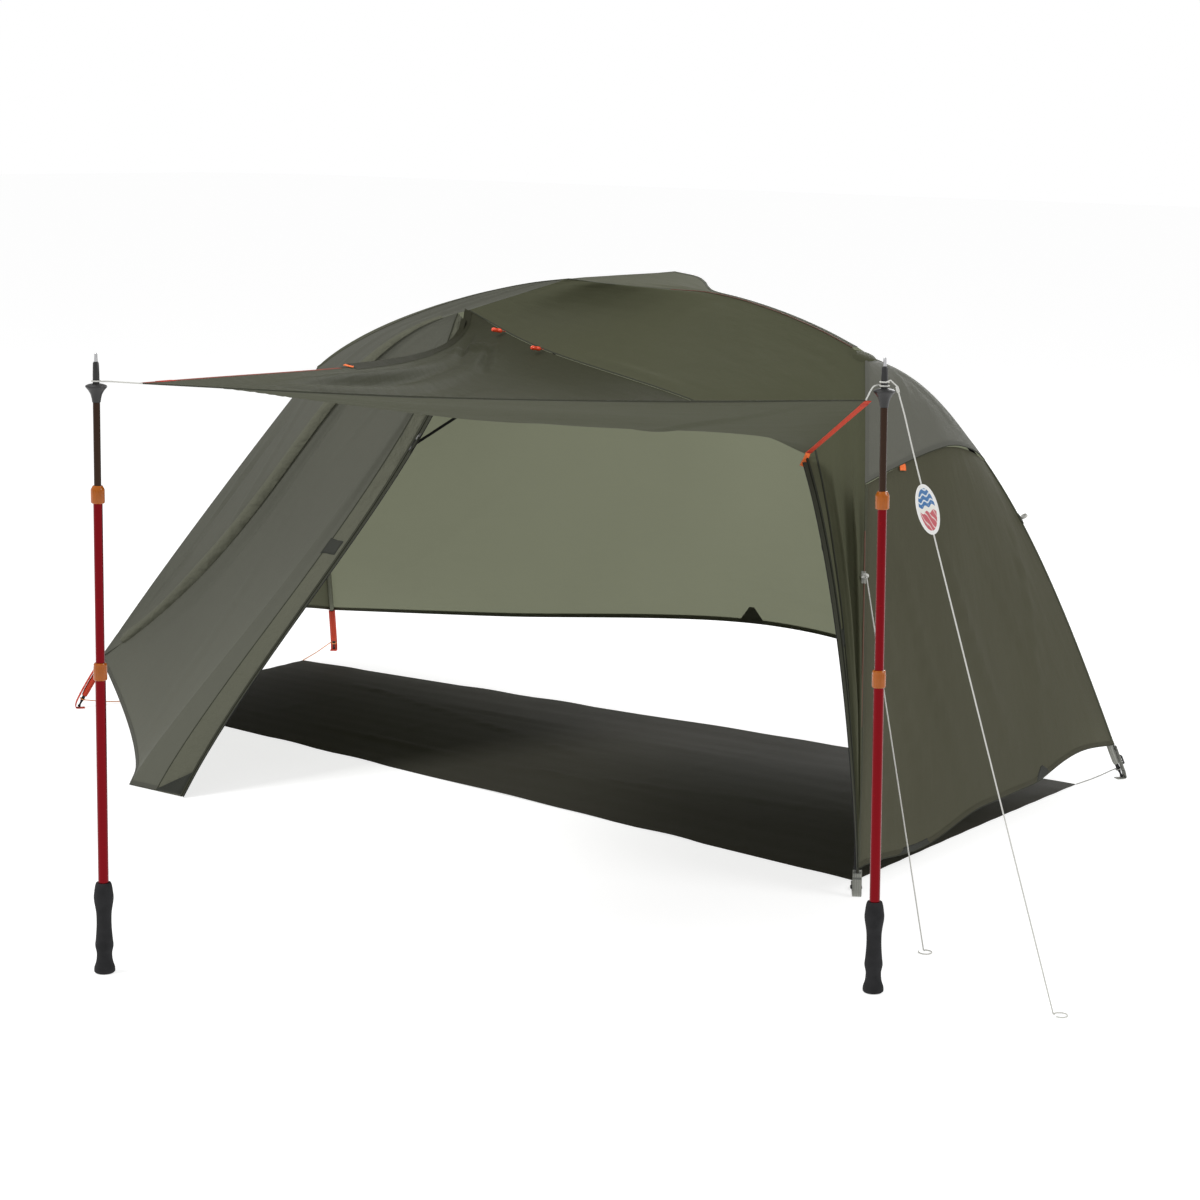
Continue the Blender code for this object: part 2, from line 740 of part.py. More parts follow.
def make_frame():
    """The ridge pole and four legs, each a pole of sections that ferrules join."""
    bm = bmesh.new()
    length = FRAME_RIDGE.length
    joints = [length * (i + 1) / RIDGE_SECTIONS for i in range(RIDGE_SECTIONS - 1)]
    pole_rod(bm, FRAME_RIDGE, HUB_REACH + HUB_GAP, length - HUB_REACH - HUB_GAP, joints)
    add_object("ridge_pole", bm, "pole_black")
    for end, name in ((-1, "foot"), (1, "head")):
        for side, face in ((-1, "front"), (1, "rear")):
            route = FRAME_LEGS[end, side]
            length = route.length
            tip = [(length - TIP_LENGTH * 0.6, TIP_NECK_RADIUS),
                   (length - TIP_LENGTH * 0.3, TIP_NECK_RADIUS),
                   (length - TIP_LENGTH * 0.2, TIP_RADIUS),
                   (length - TIP_LENGTH * 0.05, TIP_RADIUS),
                   (length, TIP_RADIUS * 0.6)]
            bm = bmesh.new()
            pole_rod(bm, route, HUB_REACH + HUB_GAP, length - TIP_LENGTH, [length / 2], tip)
            add_object(f"leg_{name}_{face}", bm, "pole_black")
    make_hub("foot_hub", -1)
    make_hub("head_hub", 1)


def make_brow_pole():
    """The short cross pole that spreads the fly over the door."""
    inset = vec(0, BROW_INSET)
    tips = [BROW_TIPS[-1] + inset, BROW_TIPS[1] - inset]
    drop = POLE_RADIUS + FRAME_GAP
    steps = 12
    points = []
    for i in range(steps + 1):
        share = i / steps
        point = tips[0] + (tips[1] - tips[0]) * share
        point[2] -= drop + BROW_BEND * 4 * share * (1 - share)
        points.append(point)
    bm = bmesh.new()
    add_rod(bm, points, POLE_RADIUS)
    add_object("brow_pole", bm, "pole_black")


def make_brow_swivel():
    ridge = FRAME_RIDGE.at(float(np.interp(BROW_X, FRAME_RIDGE.samples[:, 0], FRAME_RIDGE.travel)
                                 / FRAME_RIDGE.length))
    low, top = ridge[2] + POLE_RADIUS + GAP, brow_underside() - GAP
    bm = bmesh.new()
    profile = [(0, low), (SWIVEL_RADIUS, low), (SWIVEL_RADIUS, top), (0, top)]
    add_turned(bm, profile, vec(BROW_X, 0, 0), vec(0, 0, 1), sides=16)
    add_object("brow_swivel", bm, "hub_black")


# Fly panels

def make_fly_roof():
    """The lens of cloth over the ridge and the brow pole, from shoulder to shoulder."""
    edges = {}
    for side in (-1, 1):
        foot_part, head_part = shoulder_edge(side)
        edges[side] = foot_part + head_part[1:]
    rows = []
    for front, rear in zip(edges[-1], edges[1]):
        x = (front[0] + rear[0]) / 2
        middle = ridge_at(x)
        brow = BROW_HEIGHT - BROW_BEND
        closeness = max(0.0, 1.0 - abs(x - BROW_X) / BROW_INFLUENCE)
        middle[2] = max(middle[2], middle[2] + (brow - middle[2]) * closeness)
        rows.append([front, (front + middle) / 2, middle, (middle + rear) / 2, rear])
    panel("fly_roof", np.array(rows), "fly_olive", vec(0, 0, 1))


def shoulder_edge(side):
    """The shoulder's stations, shared by the panels on both sides of it."""
    foot_part, head_part = shoulder(side)
    start = HUB_TRIM / foot_part.length
    stop = 1.0 - HUB_TRIM / head_part.length
    return foot_part.part(start, 1.0, SHOULDER_STEPS), head_part.part(0.0, stop, SHOULDER_STEPS)


def rear_hem(steps):
    left = LEGS[-1, 1].at(LEGS[-1, 1].share_at_height(FOOT_CORNER_LIFT))
    right = LEGS[1, 1].at(LEGS[1, 1].share_at_height(HEAD_REAR_CORNER_LIFT))
    return smooth_route([left, REAR_HEM_LEFT, REAR_HEM_MIDDLE, REAR_HEM_RIGHT, right]).part(0, 1, steps)


def make_fly_rear():
    foot_part, head_part = shoulder_edge(1)
    top = foot_part + head_part[1:]
    low = rear_hem(len(top) - 1)
    start = [top[0]] + leg_part(-1, 1, FOOT_CORNER_LIFT)
    stop = [top[-1]] + leg_part(1, 1, HEAD_REAR_CORNER_LIFT)
    grid = coons(start, stop, top, low)
    rows, columns = grid.shape[:2]
    for i in range(rows):
        for j in range(columns):
            u, v = i / (rows - 1), j / (columns - 1)
            grid[i, j, 1] += REAR_BOW * 16 * u * (1 - u) * v * (1 - v)
    panel("fly_rear", grid, "fly_olive", vec(0, 1, 0.3))


def make_fly_foot_end():
    front = leg_part(-1, -1, FOOT_CORNER_LIFT)
    rear = leg_part(-1, 1, FOOT_CORNER_LIFT)

    def bow(u, v):
        bulge = 4 * v * (1 - v)
        return vec(-FOOT_BOW * math.sin(math.pi * u) * bulge, 0, FOOT_HEM_RISE * u**6 * bulge)

    panel("fly_foot_end", ruled(front, rear, 8, bow), "fly_olive", vec(-1, 0, 0.3))


def hood_edge(share, inset=0.0):
    """The hood's lower edge over the head end, from the front leg to the rear leg."""
    front = LEGS[1, -1].at(LEGS[1, -1].share_at_height(HOOD_EDGE_HEIGHT))
    rear = LEGS[1, 1].at(LEGS[1, 1].share_at_height(HOOD_EDGE_HEIGHT))
    point = front + (rear - front) * share
    rise = 1.0 - abs(2 * share - 1) ** 1.6
    point[0] += (HOOD_PEAK[0] - front[0] - inset) * rise
    point[2] += (HOOD_PEAK[1] - HOOD_EDGE_HEIGHT) * rise
    return point


def make_fly_head():
    stations = [i / HOOD_COLUMNS for i in range(HOOD_COLUMNS + 1)]
    route_front, route_rear = LEGS[1, -1], LEGS[1, 1]
    trim = HUB_TRIM / route_front.length
    edge_share = route_front.share_at_height(HOOD_EDGE_HEIGHT)
    rows = 8
    front = route_front.part(trim, edge_share, rows)
    rear = route_rear.part(trim, edge_share, rows)
    start = [front[0] + (rear[0] - front[0]) * s for s in stations]
    stop = [hood_edge(s) for s in stations]
    hood = coons(start, stop, front, rear)
    for i in range(rows + 1):
        u = i / rows
        for j, s in enumerate(stations):
            hood[i, j] += vec(0.6, 0, 0.8) * HOOD_SWELL * math.sin(math.pi * u) * 4 * s * (1 - s)
    panel("fly_head_hood", hood, "fly_light", vec(1, 0, 1), gaps=(SEAM_GAP, 0.0, SEAM_GAP, SEAM_GAP))

    low_rows = 12
    top = edge_share + WALL_GAP / route_front.length
    front = route_front.part(top, route_front.share_at_height(HEAD_FRONT_CORNER_LIFT), low_rows)
    rear = route_rear.part(top, route_rear.share_at_height(HEAD_REAR_CORNER_LIFT), low_rows)
    start = [hood_edge(s, HOOD_INSET) - vec(0, 0, HOOD_TUCK) for s in stations]
    start[0], start[-1] = front[0], rear[0]
    stop = [head_hem(s, front[-1], rear[-1]) for s in stations]
    wall = coons(start, stop, front, rear)
    panel("fly_head_wall", wall, "fly_olive", vec(1, 0, 0.2), gaps=(SEAM_GAP, 0.0, TAPE_GAP, TAPE_GAP))


def head_hem(share, front, rear):
    point = front + (rear - front) * share
    point[2] += (HEAD_HEM_HEIGHT - point[2]) * math.sin(math.pi * share)
    point[2] -= HEAD_HEM_DROP * math.sin(math.pi * min(1.0, share * 2.2)) ** 2
    point[2] += HEAD_HEM_ARCH * math.sin(math.pi * max(0.0, (share - 0.66) / 0.34)) ** 1.2
    return point


def clipped_start(line, cut):
    """Moves a line's first point along towards its second."""
    first, second = line[0], line[1]
    return [first + unit(second - first) * cut] + line[1:]


def make_fly_front_left():
    """From the shoulder and the front left leg down to the crease that runs to the door's top."""
    foot_part, _ = shoulder_edge(-1)
    top = foot_part[::-1] + leg_part(-1, -1, FOOT_CORNER_LIFT)
    crease_steps = len(top) - 1 - FOLD_STEPS
    fold = straight_route(BROW_TIPS[-1], vec(*DOOR_TOP_LEFT)).part(0.0, 1.0, FOLD_STEPS)
    low = fold + FRONT_CREASE.part(0.0, 1.0, crease_steps)[1:]
    top, low = clipped_start(top[:-1], PATCH_TRIM), clipped_start(low[:-1], PATCH_TRIM)
    start = straight_route(top[0], low[0]).part(0.0, 1.0, 6)
    stop = straight_route(top[-1], low[-1]).part(0.0, 1.0, 6)
    grid = coons(start, stop, top, low)
    panel("fly_front_left", grid, "fly_light", vec(-0.3, -1, 1), gaps=(0.0, SEAM_GAP, SEAM_GAP, VALLEY_GAP))


def vestibule_hem(steps):
    """From the crease's foot in to the stake, then out along the door tip's straight edge."""
    corner = FRONT_CREASE.at(1.0)
    stake = vec(*DOOR_STAKE_LEFT, FLY_THICKNESS)
    leaving, arriving = VESTIBULE_HEM_HANDLES
    sweep = bezier_route(corner, corner + vec(*leaving), stake + vec(*arriving), stake)
    tip = LEFT_ZIP.at(1.0)
    line = sweep.part(0, 1, steps - 2)
    return line + [stake + (tip - stake) * k / 2 for k in (1, 2)]


def make_vestibule():
    """The staked-out panel left of the door, from the crease to the left zip."""
    rows, columns = VESTIBULE_ROWS, 9
    trim = VESTIBULE_TRIM
    crease = FRONT_CREASE.part(trim, 1.0, rows)
    zipper = LEFT_ZIP.part(trim, 1.0, rows)
    start = [crease[0] + (zipper[0] - crease[0]) * k / columns for k in range(columns + 1)]
    stop = vestibule_hem(columns)
    grid = coons(start, stop, crease, zipper)
    panel("fly_vestibule", grid, "fly_light", vec(0.4, -1, 0.6), gaps=(SEAM_GAP, 0.0, VALLEY_GAP, 0.0))


def make_fly_front_right():
    """From the shoulder and the front right leg to the door's top seam and the right zip."""
    _, head_part = shoulder_edge(-1)
    top = head_part + leg_part(1, -1, HEAD_FRONT_CORNER_LIFT)
    zip_steps = len(top) - 1 - DOOR_STEPS
    low = DOOR_TOP.part(0, 1, DOOR_STEPS) + RIGHT_ZIP.part(0, 1, zip_steps)[1:]
    columns = 12
    start = straight_route(BROW_TIPS[-1], vec(*DOOR_TOP_LEFT)).part(0, 1, columns)
    stop = [top[-1] + (low[-1] - top[-1]) * k / columns for k in range(columns + 1)]
    grid = coons(start, stop, top, low)
    rows = grid.shape[0] - 1
    normals = grid_normals(grid)
    for i in range(rows + 1):
        u = i / rows
        strength = min(1.0, max(0.0, (u - 0.5) / 0.15)) * min(1.0, (1.0 - u) / 0.08)
        for j in range(columns + 1):
            v = j / columns
            fold = math.sin(2 * math.pi * FOLD_COUNT * v) * math.sin(math.pi * v)
            grid[i, j] += normals[i, j] * FOLD_DEPTH * strength * fold
    gaps = (VALLEY_GAP, SEAM_GAP, SEAM_GAP, SEAM_GAP)
    panel("fly_front_right", grid, "fly_olive", vec(0.3, -1, 0.8), gaps)


def awning_sag(u, v):
    """How far the awning hangs below its straight rulings; u runs along the hinge, v away from it."""
    inside = min(1.0, u / AWNING_EDGE_SPAN)
    across = AWNING_EDGE_SAG + (AWNING_BELLY - AWNING_EDGE_SAG) * inside
    slack = AWNING_EDGE_SLACK + (AWNING_BELLY_SLACK - AWNING_EDGE_SLACK) * inside
    if u > 0.4:
        across *= 1.0 - ((u - 0.4) / 0.6) ** 2
    front = AWNING_FRONT_SAG * v * math.sin(math.pi * u)
    return across * math.sin(math.pi * v**slack) + front


def awning_pleats(u, v):
    """Long folds that fan out from the left corner."""
    turn = math.atan2(u * 1.1, 1.0 - v + 1e-6) / (math.pi / 2)
    reach = min(1.0, math.hypot(u, 1.0 - v))
    swell = math.sin(math.pi * min(1.0, reach * 1.05)) ** 0.8
    return AWNING_PLEAT * swell * math.sin(2 * math.pi * PLEAT_COUNT * turn) * (1.0 - turn) ** 0.5


def awning_point(u, v):
    left, right = awning_corners()
    top = DOOR_TOP.at(u)
    point = top + (left + (right - left) * u - top) * v
    point[2] -= awning_sag(u, v)
    return point


def make_awning():
    """The door cloth, lifted and held out by the walking poles, with its belly and pleats."""
    grid = np.zeros((AWNING_ROWS + 1, 2 * DOOR_STEPS + 1, 3))
    for i in range(AWNING_ROWS + 1):
        v = i / AWNING_ROWS
        for j in range(2 * DOOR_STEPS + 1):
            u = j / (2 * DOOR_STEPS)
            inner = min(1.0, 12 * u) * min(1.0, 12 * (1.0 - u))
            grid[i, j] = awning_point(u, v) + vec(0, 0, awning_pleats(u, v) * inner)
    panel("awning", grid, "fly_olive", vec(0, 0, -1), gaps=(TAPE_GAP, 0.0, 0.0, 0.0))


def edge_tape(name, edge, beyond, width, finish, outward):
    """A tape sewn along a panel's free edge, in the panel's own plane."""
    rows = []
    for point, away in zip(edge, beyond):
        rows.append([point + away * TAPE_GAP, point + away * (TAPE_GAP + width)])
    bm = bmesh.new()
    add_sheet(bm, np.array(rows), FLY_THICKNESS, outward)
    return add_object(name, bm, finish)


def zip_directions():
    rows = VESTIBULE_ROWS
    crease = FRONT_CREASE.part(VESTIBULE_TRIM, 1.0, rows)
    left = LEFT_ZIP.part(VESTIBULE_TRIM, 1.0, rows)
    left_away = [unit(b - a) for a, b in zip(crease, left)]
    leg = leg_part(1, -1, HEAD_FRONT_CORNER_LIFT)
    count = len(leg) - 1
    right = RIGHT_ZIP.part(RIGHT_ZIP_TRIM, 1.0, count)
    right_away = [unit(b - a) for a, b in zip(leg, right)]
    return left, left_away, right, right_away


def slider_seat(route, share, away, face):
    """The middle of a slider on its tape; face is 1 outside the tent and -1 inside."""
    along = route.direction(share)
    away = unit(away - along * (away @ along))
    normal = unit(np.cross(along, away))
    if normal[1] > 0:
        normal = -normal
    tape_face = FLY_THICKNESS if face > 0 else 0.0
    lift = face * (tape_face * face + SLIDER_GAP + SLIDER_SIZE[2] / 2)
    return route.at(share) + away * (TAPE_GAP + ZIP_WIDTH / 2) + normal * lift, away


def slider_travel(side):
    """Where a slider starts and ends: it runs along the chord on the hollow face of its tape."""
    left, left_away, right, right_away = zip_directions()
    if side == "left":
        route, aways, start, stop, face = LEFT_ZIP, left_away, LEFT_SLIDER_SHARE, LEFT_SLIDER_STOP, 1
        first, last = VESTIBULE_TRIM, 1.0
    else:
        route, aways, start, stop, face = RIGHT_ZIP, right_away, RIGHT_SLIDER_SHARE, RIGHT_SLIDER_STOP, -1
        first, last = RIGHT_ZIP_TRIM, 1.0
    seats = []
    for share in (start, stop):
        index = round((share - first) / (last - first) * (len(aways) - 1))
        seats.append(slider_seat(route, share, aways[index], face))
    return seats[0][0], seats[1][0], seats[0][1]


def make_zips():
    left, left_away, right, right_away = zip_directions()
    edge_tape("zip_left", left, left_away, ZIP_WIDTH, "binding_black", vec(0.4, -1, 0.6))
    edge_tape("zip_right", right, right_away, ZIP_WIDTH, "binding_black", vec(0.3, -1, 0.6))
    for side in ("left", "right"):
        start, stop, away = slider_travel(side)
        along = unit(stop - start)
        away = unit(away - along * (away @ along))
        bm = bmesh.new()
        half = [size / 2 for size in SLIDER_SIZE]
        add_box(bm, vec(0, 0, 0), half, (along, away, np.cross(along, away)))
        made = add_object(f"zip_slider_{side}", bm, "tip_steel")
        made.location = Vector(start)


def make_awning_webbing():
    left, right = awning_corners()
    along = unit(right - left)
    for name, u, beyond in (("awning_webbing_left", 0.0, -along), ("awning_webbing_right", 1.0, along)):
        edge = Route([awning_point(u, i / AWNING_ROWS) for i in range(AWNING_ROWS + 1)])
        inset = WEBBING_INSET / edge.length
        points = edge.part(2 * inset, 1 - inset, AWNING_ROWS)
        away = []
        for k in range(AWNING_ROWS + 1):
            run = edge.direction(k / AWNING_ROWS)
            away.append(unit(beyond - run * (beyond @ run)))
        edge_tape(name, points, away, AWNING_WEBBING_WIDTH, "webbing_red", vec(0, 0, -1))


def make_corner_straps():
    """Webbing from each corner of the fly down to a tab that its leg's tip stands on."""
    finishes = {-1: "webbing_red", 1: "webbing_grey"}
    for (end, side), route in LEGS.items():
        lift = corner_lift(end, side)
        heading = leg_heading(end, side)
        across = np.cross(heading, vec(0, 0, 1))
        top = route.share_at_height(lift) + STRAP_GAP / route.length
        low = route.share_at_height(STRAP_BEND_HEIGHT)
        points = route.part(top, low, 5)
        stake = route.at(1.0)
        rest = WEBBING_THICKNESS / 2
        inward = stake - heading * STRAP_BEND_INSET
        points.append(vec(inward[0], inward[1], rest + STRAP_BEND_LIFT))
        reach = STRAP_TAB
        if (end, side) == (1, -1):
            corner = vec(FLOOR_LENGTH / 2, FLOOR_SHIFT - FLOOR_HEAD_WIDTH / 2)
            reach = np.linalg.norm(stake - corner) - STRAP_FLOOR_GAP
        for k in (0.4, 1.0):
            point = inward - heading * reach * k
            points.append(vec(point[0], point[1], rest))
        line = smooth_route(points, 6).part(0, 1, 14)
        for point in line:
            point[2] = max(point[2], rest)
        bm = bmesh.new()
        add_ribbon(bm, line, across, WEBBING_WIDTH, WEBBING_THICKNESS)
        name = f"corner_strap_{'foot' if end < 0 else 'head'}_{'front' if side < 0 else 'rear'}"
        add_object(name, bm, finishes[end])


def corner_lift(end, side):
    if end < 0:
        return FOOT_CORNER_LIFT
    return HEAD_FRONT_CORNER_LIFT if side < 0 else HEAD_REAR_CORNER_LIFT


def add_cord(name, points, radius, finish):
    curve = bpy.data.curves.new(name, "CURVE")
    curve.dimensions = "3D"
    curve.bevel_depth = radius
    curve.bevel_resolution = 1
    curve.use_fill_caps = True
    spline = curve.splines.new("POLY")
    spline.points.add(len(points) - 1)
    for target, point in zip(spline.points, points):
        target.co = (*point, 1.0)
    curve.materials.append(material(finish))
    made = bpy.data.objects.new(name, curve)
    bpy.context.scene.collection.objects.link(made)
    return made


def wrap_points(centre, axis, radius, towards, turn=300.0, steps=9):
    """Points of a cord laid round an axis, leaving on the side that faces a direction."""
    a = unit(towards - axis * (towards @ axis))
    b = np.cross(axis, a)
    points = []
    for k in range(steps + 1):
        angle = math.radians(-turn + turn * k / steps) - math.pi / 2
        points.append(centre + radius * (math.cos(angle) * a + math.sin(angle) * b))
    return points


def make_corner_cords():
    """Cords that tie the groundsheet's corners to the feet of three legs."""
    ties = ((-1, -1, "foot_front", "cord_orange"), (-1, 1, "foot_rear", "cord_orange"),
            (1, 1, "head_rear", "webbing_grey"))
    for end, side, name, finish in ties:
        route = FRAME_LEGS[end, side]
        width = FLOOR_FOOT_WIDTH if end < 0 else FLOOR_HEAD_WIDTH
        corner = vec(end * FLOOR_LENGTH / 2, FLOOR_SHIFT + side * width / 2)
        foot_share = 1.0 - CORD_RING_HEIGHT / route.length
        centre = route.at(foot_share)
        axis = -route.direction(foot_share)
        towards = unit(corner - centre)
        ring = wrap_points(centre, axis, POLE_RADIUS + CORNER_CORD_RADIUS + CORD_GAP, towards)
        start = corner + unit(vec(centre[0] - corner[0], centre[1] - corner[1])) * CORD_START_GAP
        start[2] = CORNER_CORD_RADIUS + CORD_REST_GAP
        near = ring[-1] + towards * CORD_LEAD
        middle = (start + near) / 2 - vec(0, 0, CORD_SAG)
        middle[2] = max(middle[2], CORNER_CORD_RADIUS + CORD_REST_GAP)
        approach = smooth_route([start, middle, near], 8).part(0, 1, 8)
        add_cord(f"corner_cord_{name}", approach + ring[::-1], CORNER_CORD_RADIUS, finish)


def add_frame_plate(bm, centre, axes, half, slot):
    """A flat ring with a square hole, its thickness along the third axis."""
    loops = []
    for size, height in ((half, -half[2]), (half, half[2]), (slot, half[2]), (slot, -half[2])):
        ring = []
        for x, y in ((-1, -1), (1, -1), (1, 1), (-1, 1)):
            point = centre + x * size[0] * axes[0] + y * size[1] * axes[1] + height * axes[2]
            ring.append(bm.verts.new(point))
        loops.append(ring)
    for low, high in zip(loops, loops[1:] + loops[:1]):
        for i in range(4):
            j = (i + 1) % 4
            bm.faces.new((low[i], low[j], high[j], high[i]))


def make_buckles():
    """Ladder-lock buckles on the two straps at the head end."""
    heading = leg_heading(1, -1)
    across = np.cross(heading, vec(0, 0, 1))
    stake = LEGS[1, -1].at(1.0)
    centre = stake - heading * BUCKLE_INSET
    centre[2] = WEBBING_THICKNESS + GAP + BUCKLE_HALF[2]
    bm = bmesh.new()
    add_frame_plate(bm, centre, (heading, across, vec(0, 0, 1)), BUCKLE_HALF, BUCKLE_SLOT)
    add_object("corner_buckle_front", bm, "hub_black")
    route = LEGS[1, 1]
    share = route.share_at_height(BUCKLE_HEIGHT)
    along = route.direction(share)
    heading = leg_heading(1, 1)
    across = np.cross(heading, vec(0, 0, 1))
    away = unit(np.cross(across, along))
    if away @ heading < 0:
        away = -away
    centre = route.at(share) + away * (WEBBING_THICKNESS / 2 + BUCKLE_STRAP_GAP + BUCKLE_HALF[2])
    bm = bmesh.new()
    add_frame_plate(bm, centre, (along, across, away), BUCKLE_HALF, BUCKLE_SLOT)
    add_object("corner_buckle_rear", bm, "hub_black")


def make_inner_strap():
    """The thin dark strap from the rear foot leg up to the brow pole's rear end."""
    low = FRAME_LEGS[-1, 1].at(FRAME_LEGS[-1, 1].share_at_height(INNER_STRAP_HEIGHT))
    high = BROW_TIPS[1] - vec(0, STRAP_HIGH_INSET, STRAP_HIGH_INSET)
    run = unit(high - low)
    start = low + run * (POLE_RADIUS + STRAP_LOW_GAP)
    stop = high - run * STRAP_HIGH_GAP
    bm = bmesh.new()
    points = [start + (stop - start) * k / 2 for k in range(3)]
    add_ribbon(bm, points, vec(0, 0, 1), INNER_STRAP_WIDTH, INNER_STRAP_THICKNESS)
    add_object("inner_strap", bm, "hub_black")


def clip_centre(side):
    route = LEGS[1, side]
    share = route.share_at_height(FRONT_CLIP_HEIGHT if side < 0 else REAR_CLIP_HEIGHT)
    away = square_away(route, share, corner_outwards(1, side))
    centre = route.at(share) + away * (FLY_THICKNESS + CLIP_STANDOFF + CLIP_RADIUS)
    return centre, away, route.direction(share)


def make_guy_clips():
    for side, name in ((-1, "front"), (1, "rear")):
        centre, away, along = clip_centre(side)
        bm = bmesh.new()
        half = CLIP_WIDTH / 2
        add_turned(bm, tube_profile(CLIP_RADIUS, CLIP_HOLE, -half, half), centre, along, sides=12)
        add_object(f"guy_clip_{name}", bm, "webbing_grey")


def end_loop(ground, heading):
    """A small tied loop that lies on the ground at a guyline's end."""
    side = np.cross(vec(0, 0, 1), heading)
    points = []
    for k in range(11):
        angle = math.radians(200 - 370 * k / 10 * 0.86)
        ahead = GUY_LOOP * (1 + math.cos(angle))
        points.append(ground + heading * ahead + side * GUY_LOOP * math.sin(angle))
    return points


def guyline_points():
    """The line from the right walking pole's tip, over its basket and straight to the ground."""
    foot, axis, reach = pole_axis("right")
    ring_centre = foot + axis * (reach - GUY_RING_BELOW_TIP)
    end = vec(*POLE_GUY_END, GUY_RADIUS + GAP)
    level = unit(vec(end[0] - ring_centre[0], end[1] - ring_centre[1]))
    ring = wrap_points(ring_centre, axis, FERRULE_TIP_RADIUS + GUY_RADIUS + CORD_GAP, level)
    over = ring[-1] + level * (BASKET_RADIUS + GUY_OVER_BASKET) - vec(0, 0, GUY_FALL)
    return ring + [ring[-1] + level * GUY_LEAD] + straight_route(over, end).part(0, 1, 10), level


def make_guylines():
    points, level = guyline_points()
    add_cord("guyline_pole", points + end_loop(points[-1], level)[1:], GUY_RADIUS, "cord_white")
    centre, away, _ = clip_centre(-1)
    end = vec(*SIDE_GUY_END, GUY_RADIUS + GAP)
    start = centre + away * (CLIP_RADIUS + GUY_RADIUS + GAP)
    line = [start + (end - start) * k / 8 for k in range(9)]
    level = unit(vec(end[0] - start[0], end[1] - start[1]))
    add_cord("guyline_side", line + end_loop(end, level)[1:], GUY_RADIUS, "cord_white")


def make_tag():
    """The oval tag that rides on the guyline."""
    points, _ = guyline_points()
    run = unit(points[-1] - points[-5])
    centre = points[-11] + run * TAG_DROP
    side = unit(np.cross(run, vec(0.58, -0.79, 0.0)))
    normal = np.cross(side, run)
    centre = centre + normal * (GUY_RADIUS + TAG_GAP + TAG_THICKNESS / 2)
    rings = []
    turns = [2 * math.pi * k / 28 for k in range(28)]
    for height in (-TAG_THICKNESS / 2, TAG_THICKNESS / 2):
        level = height * normal
        rings.append([math.cos(t) * TAG_LENGTH / 2 * run + math.sin(t) * TAG_WIDTH / 2 * side + level
                      for t in turns])
    bm = bmesh.new()
    add_rings(bm, rings)
    made = add_object("guyline_tag", bm, "tag_white")
    made.location = Vector(centre)


def make_awning_ties():
    """Short cords from the awning's corners round the walking poles' tips."""
    left, right = awning_corners()
    for name, side, corner in (("awning_cord_left", "left", left), ("awning_cord_right", "right", right)):
        foot, axis, reach = pole_axis(side)
        centre = foot + axis * (reach - AWNING_RING_BELOW_TIP)
        towards = corner - centre
        ring = wrap_points(centre, axis, FERRULE_TIP_RADIUS + GUY_RADIUS + CORD_GAP, unit(towards))
        level = unit(vec(towards[0], towards[1]))
        over = centre + level * (BASKET_RADIUS + TIE_OVER_BASKET) - vec(0, 0, TIE_FALL)
        steep = abs(unit(corner - over)[2])
        gap = CORD_START_GAP + GUY_RADIUS * TIE_STEEP_GAP * steep
        stop = corner - level * gap - vec(0, 0, FLY_THICKNESS / 2)
        lead = ring[-1] + level * TIE_LEAD
        add_cord(name, ring + smooth_route([lead, over, stop], 6).part(0, 1, 5), GUY_RADIUS, "cord_white")


def make_toggles():
    """Elastic toggles at the door's top, where the rolled door would be held."""
    for name, share in (("door_toggle_left", LEFT_TOGGLE_SHARE), ("door_toggle_right", RIGHT_TOGGLE_SHARE)):
        along = DOOR_TOP.direction(share)
        out = unit(np.cross(along, vec(0, 0, 1)))
        if out[1] > 0:
            out = -out
        base = DOOR_TOP.at(share) + vec(0, 0, TOGGLE_STANDOFF) + out * TOGGLE_OUTSTAND
        axis = unit(out + vec(0, 0, TOGGLE_RISE))
        low, high = TOGGLE_CORD, TOGGLE_CORD + TOGGLE_LENGTH
        profile = [(0, 0), (TOGGLE_NECK, 0), (TOGGLE_NECK, low), (TOGGLE_RADIUS * 0.8, low + 0.0008),
                   (TOGGLE_RADIUS, low + 0.003), (TOGGLE_RADIUS, high - 0.003),
                   (TOGGLE_RADIUS * 0.8, high), (0, high)]
        bm = bmesh.new()
        add_turned(bm, profile, vec(0, 0, 0), axis, sides=10)
        made = add_object(name, bm, "toggle_red")
        made.location = Vector(base)


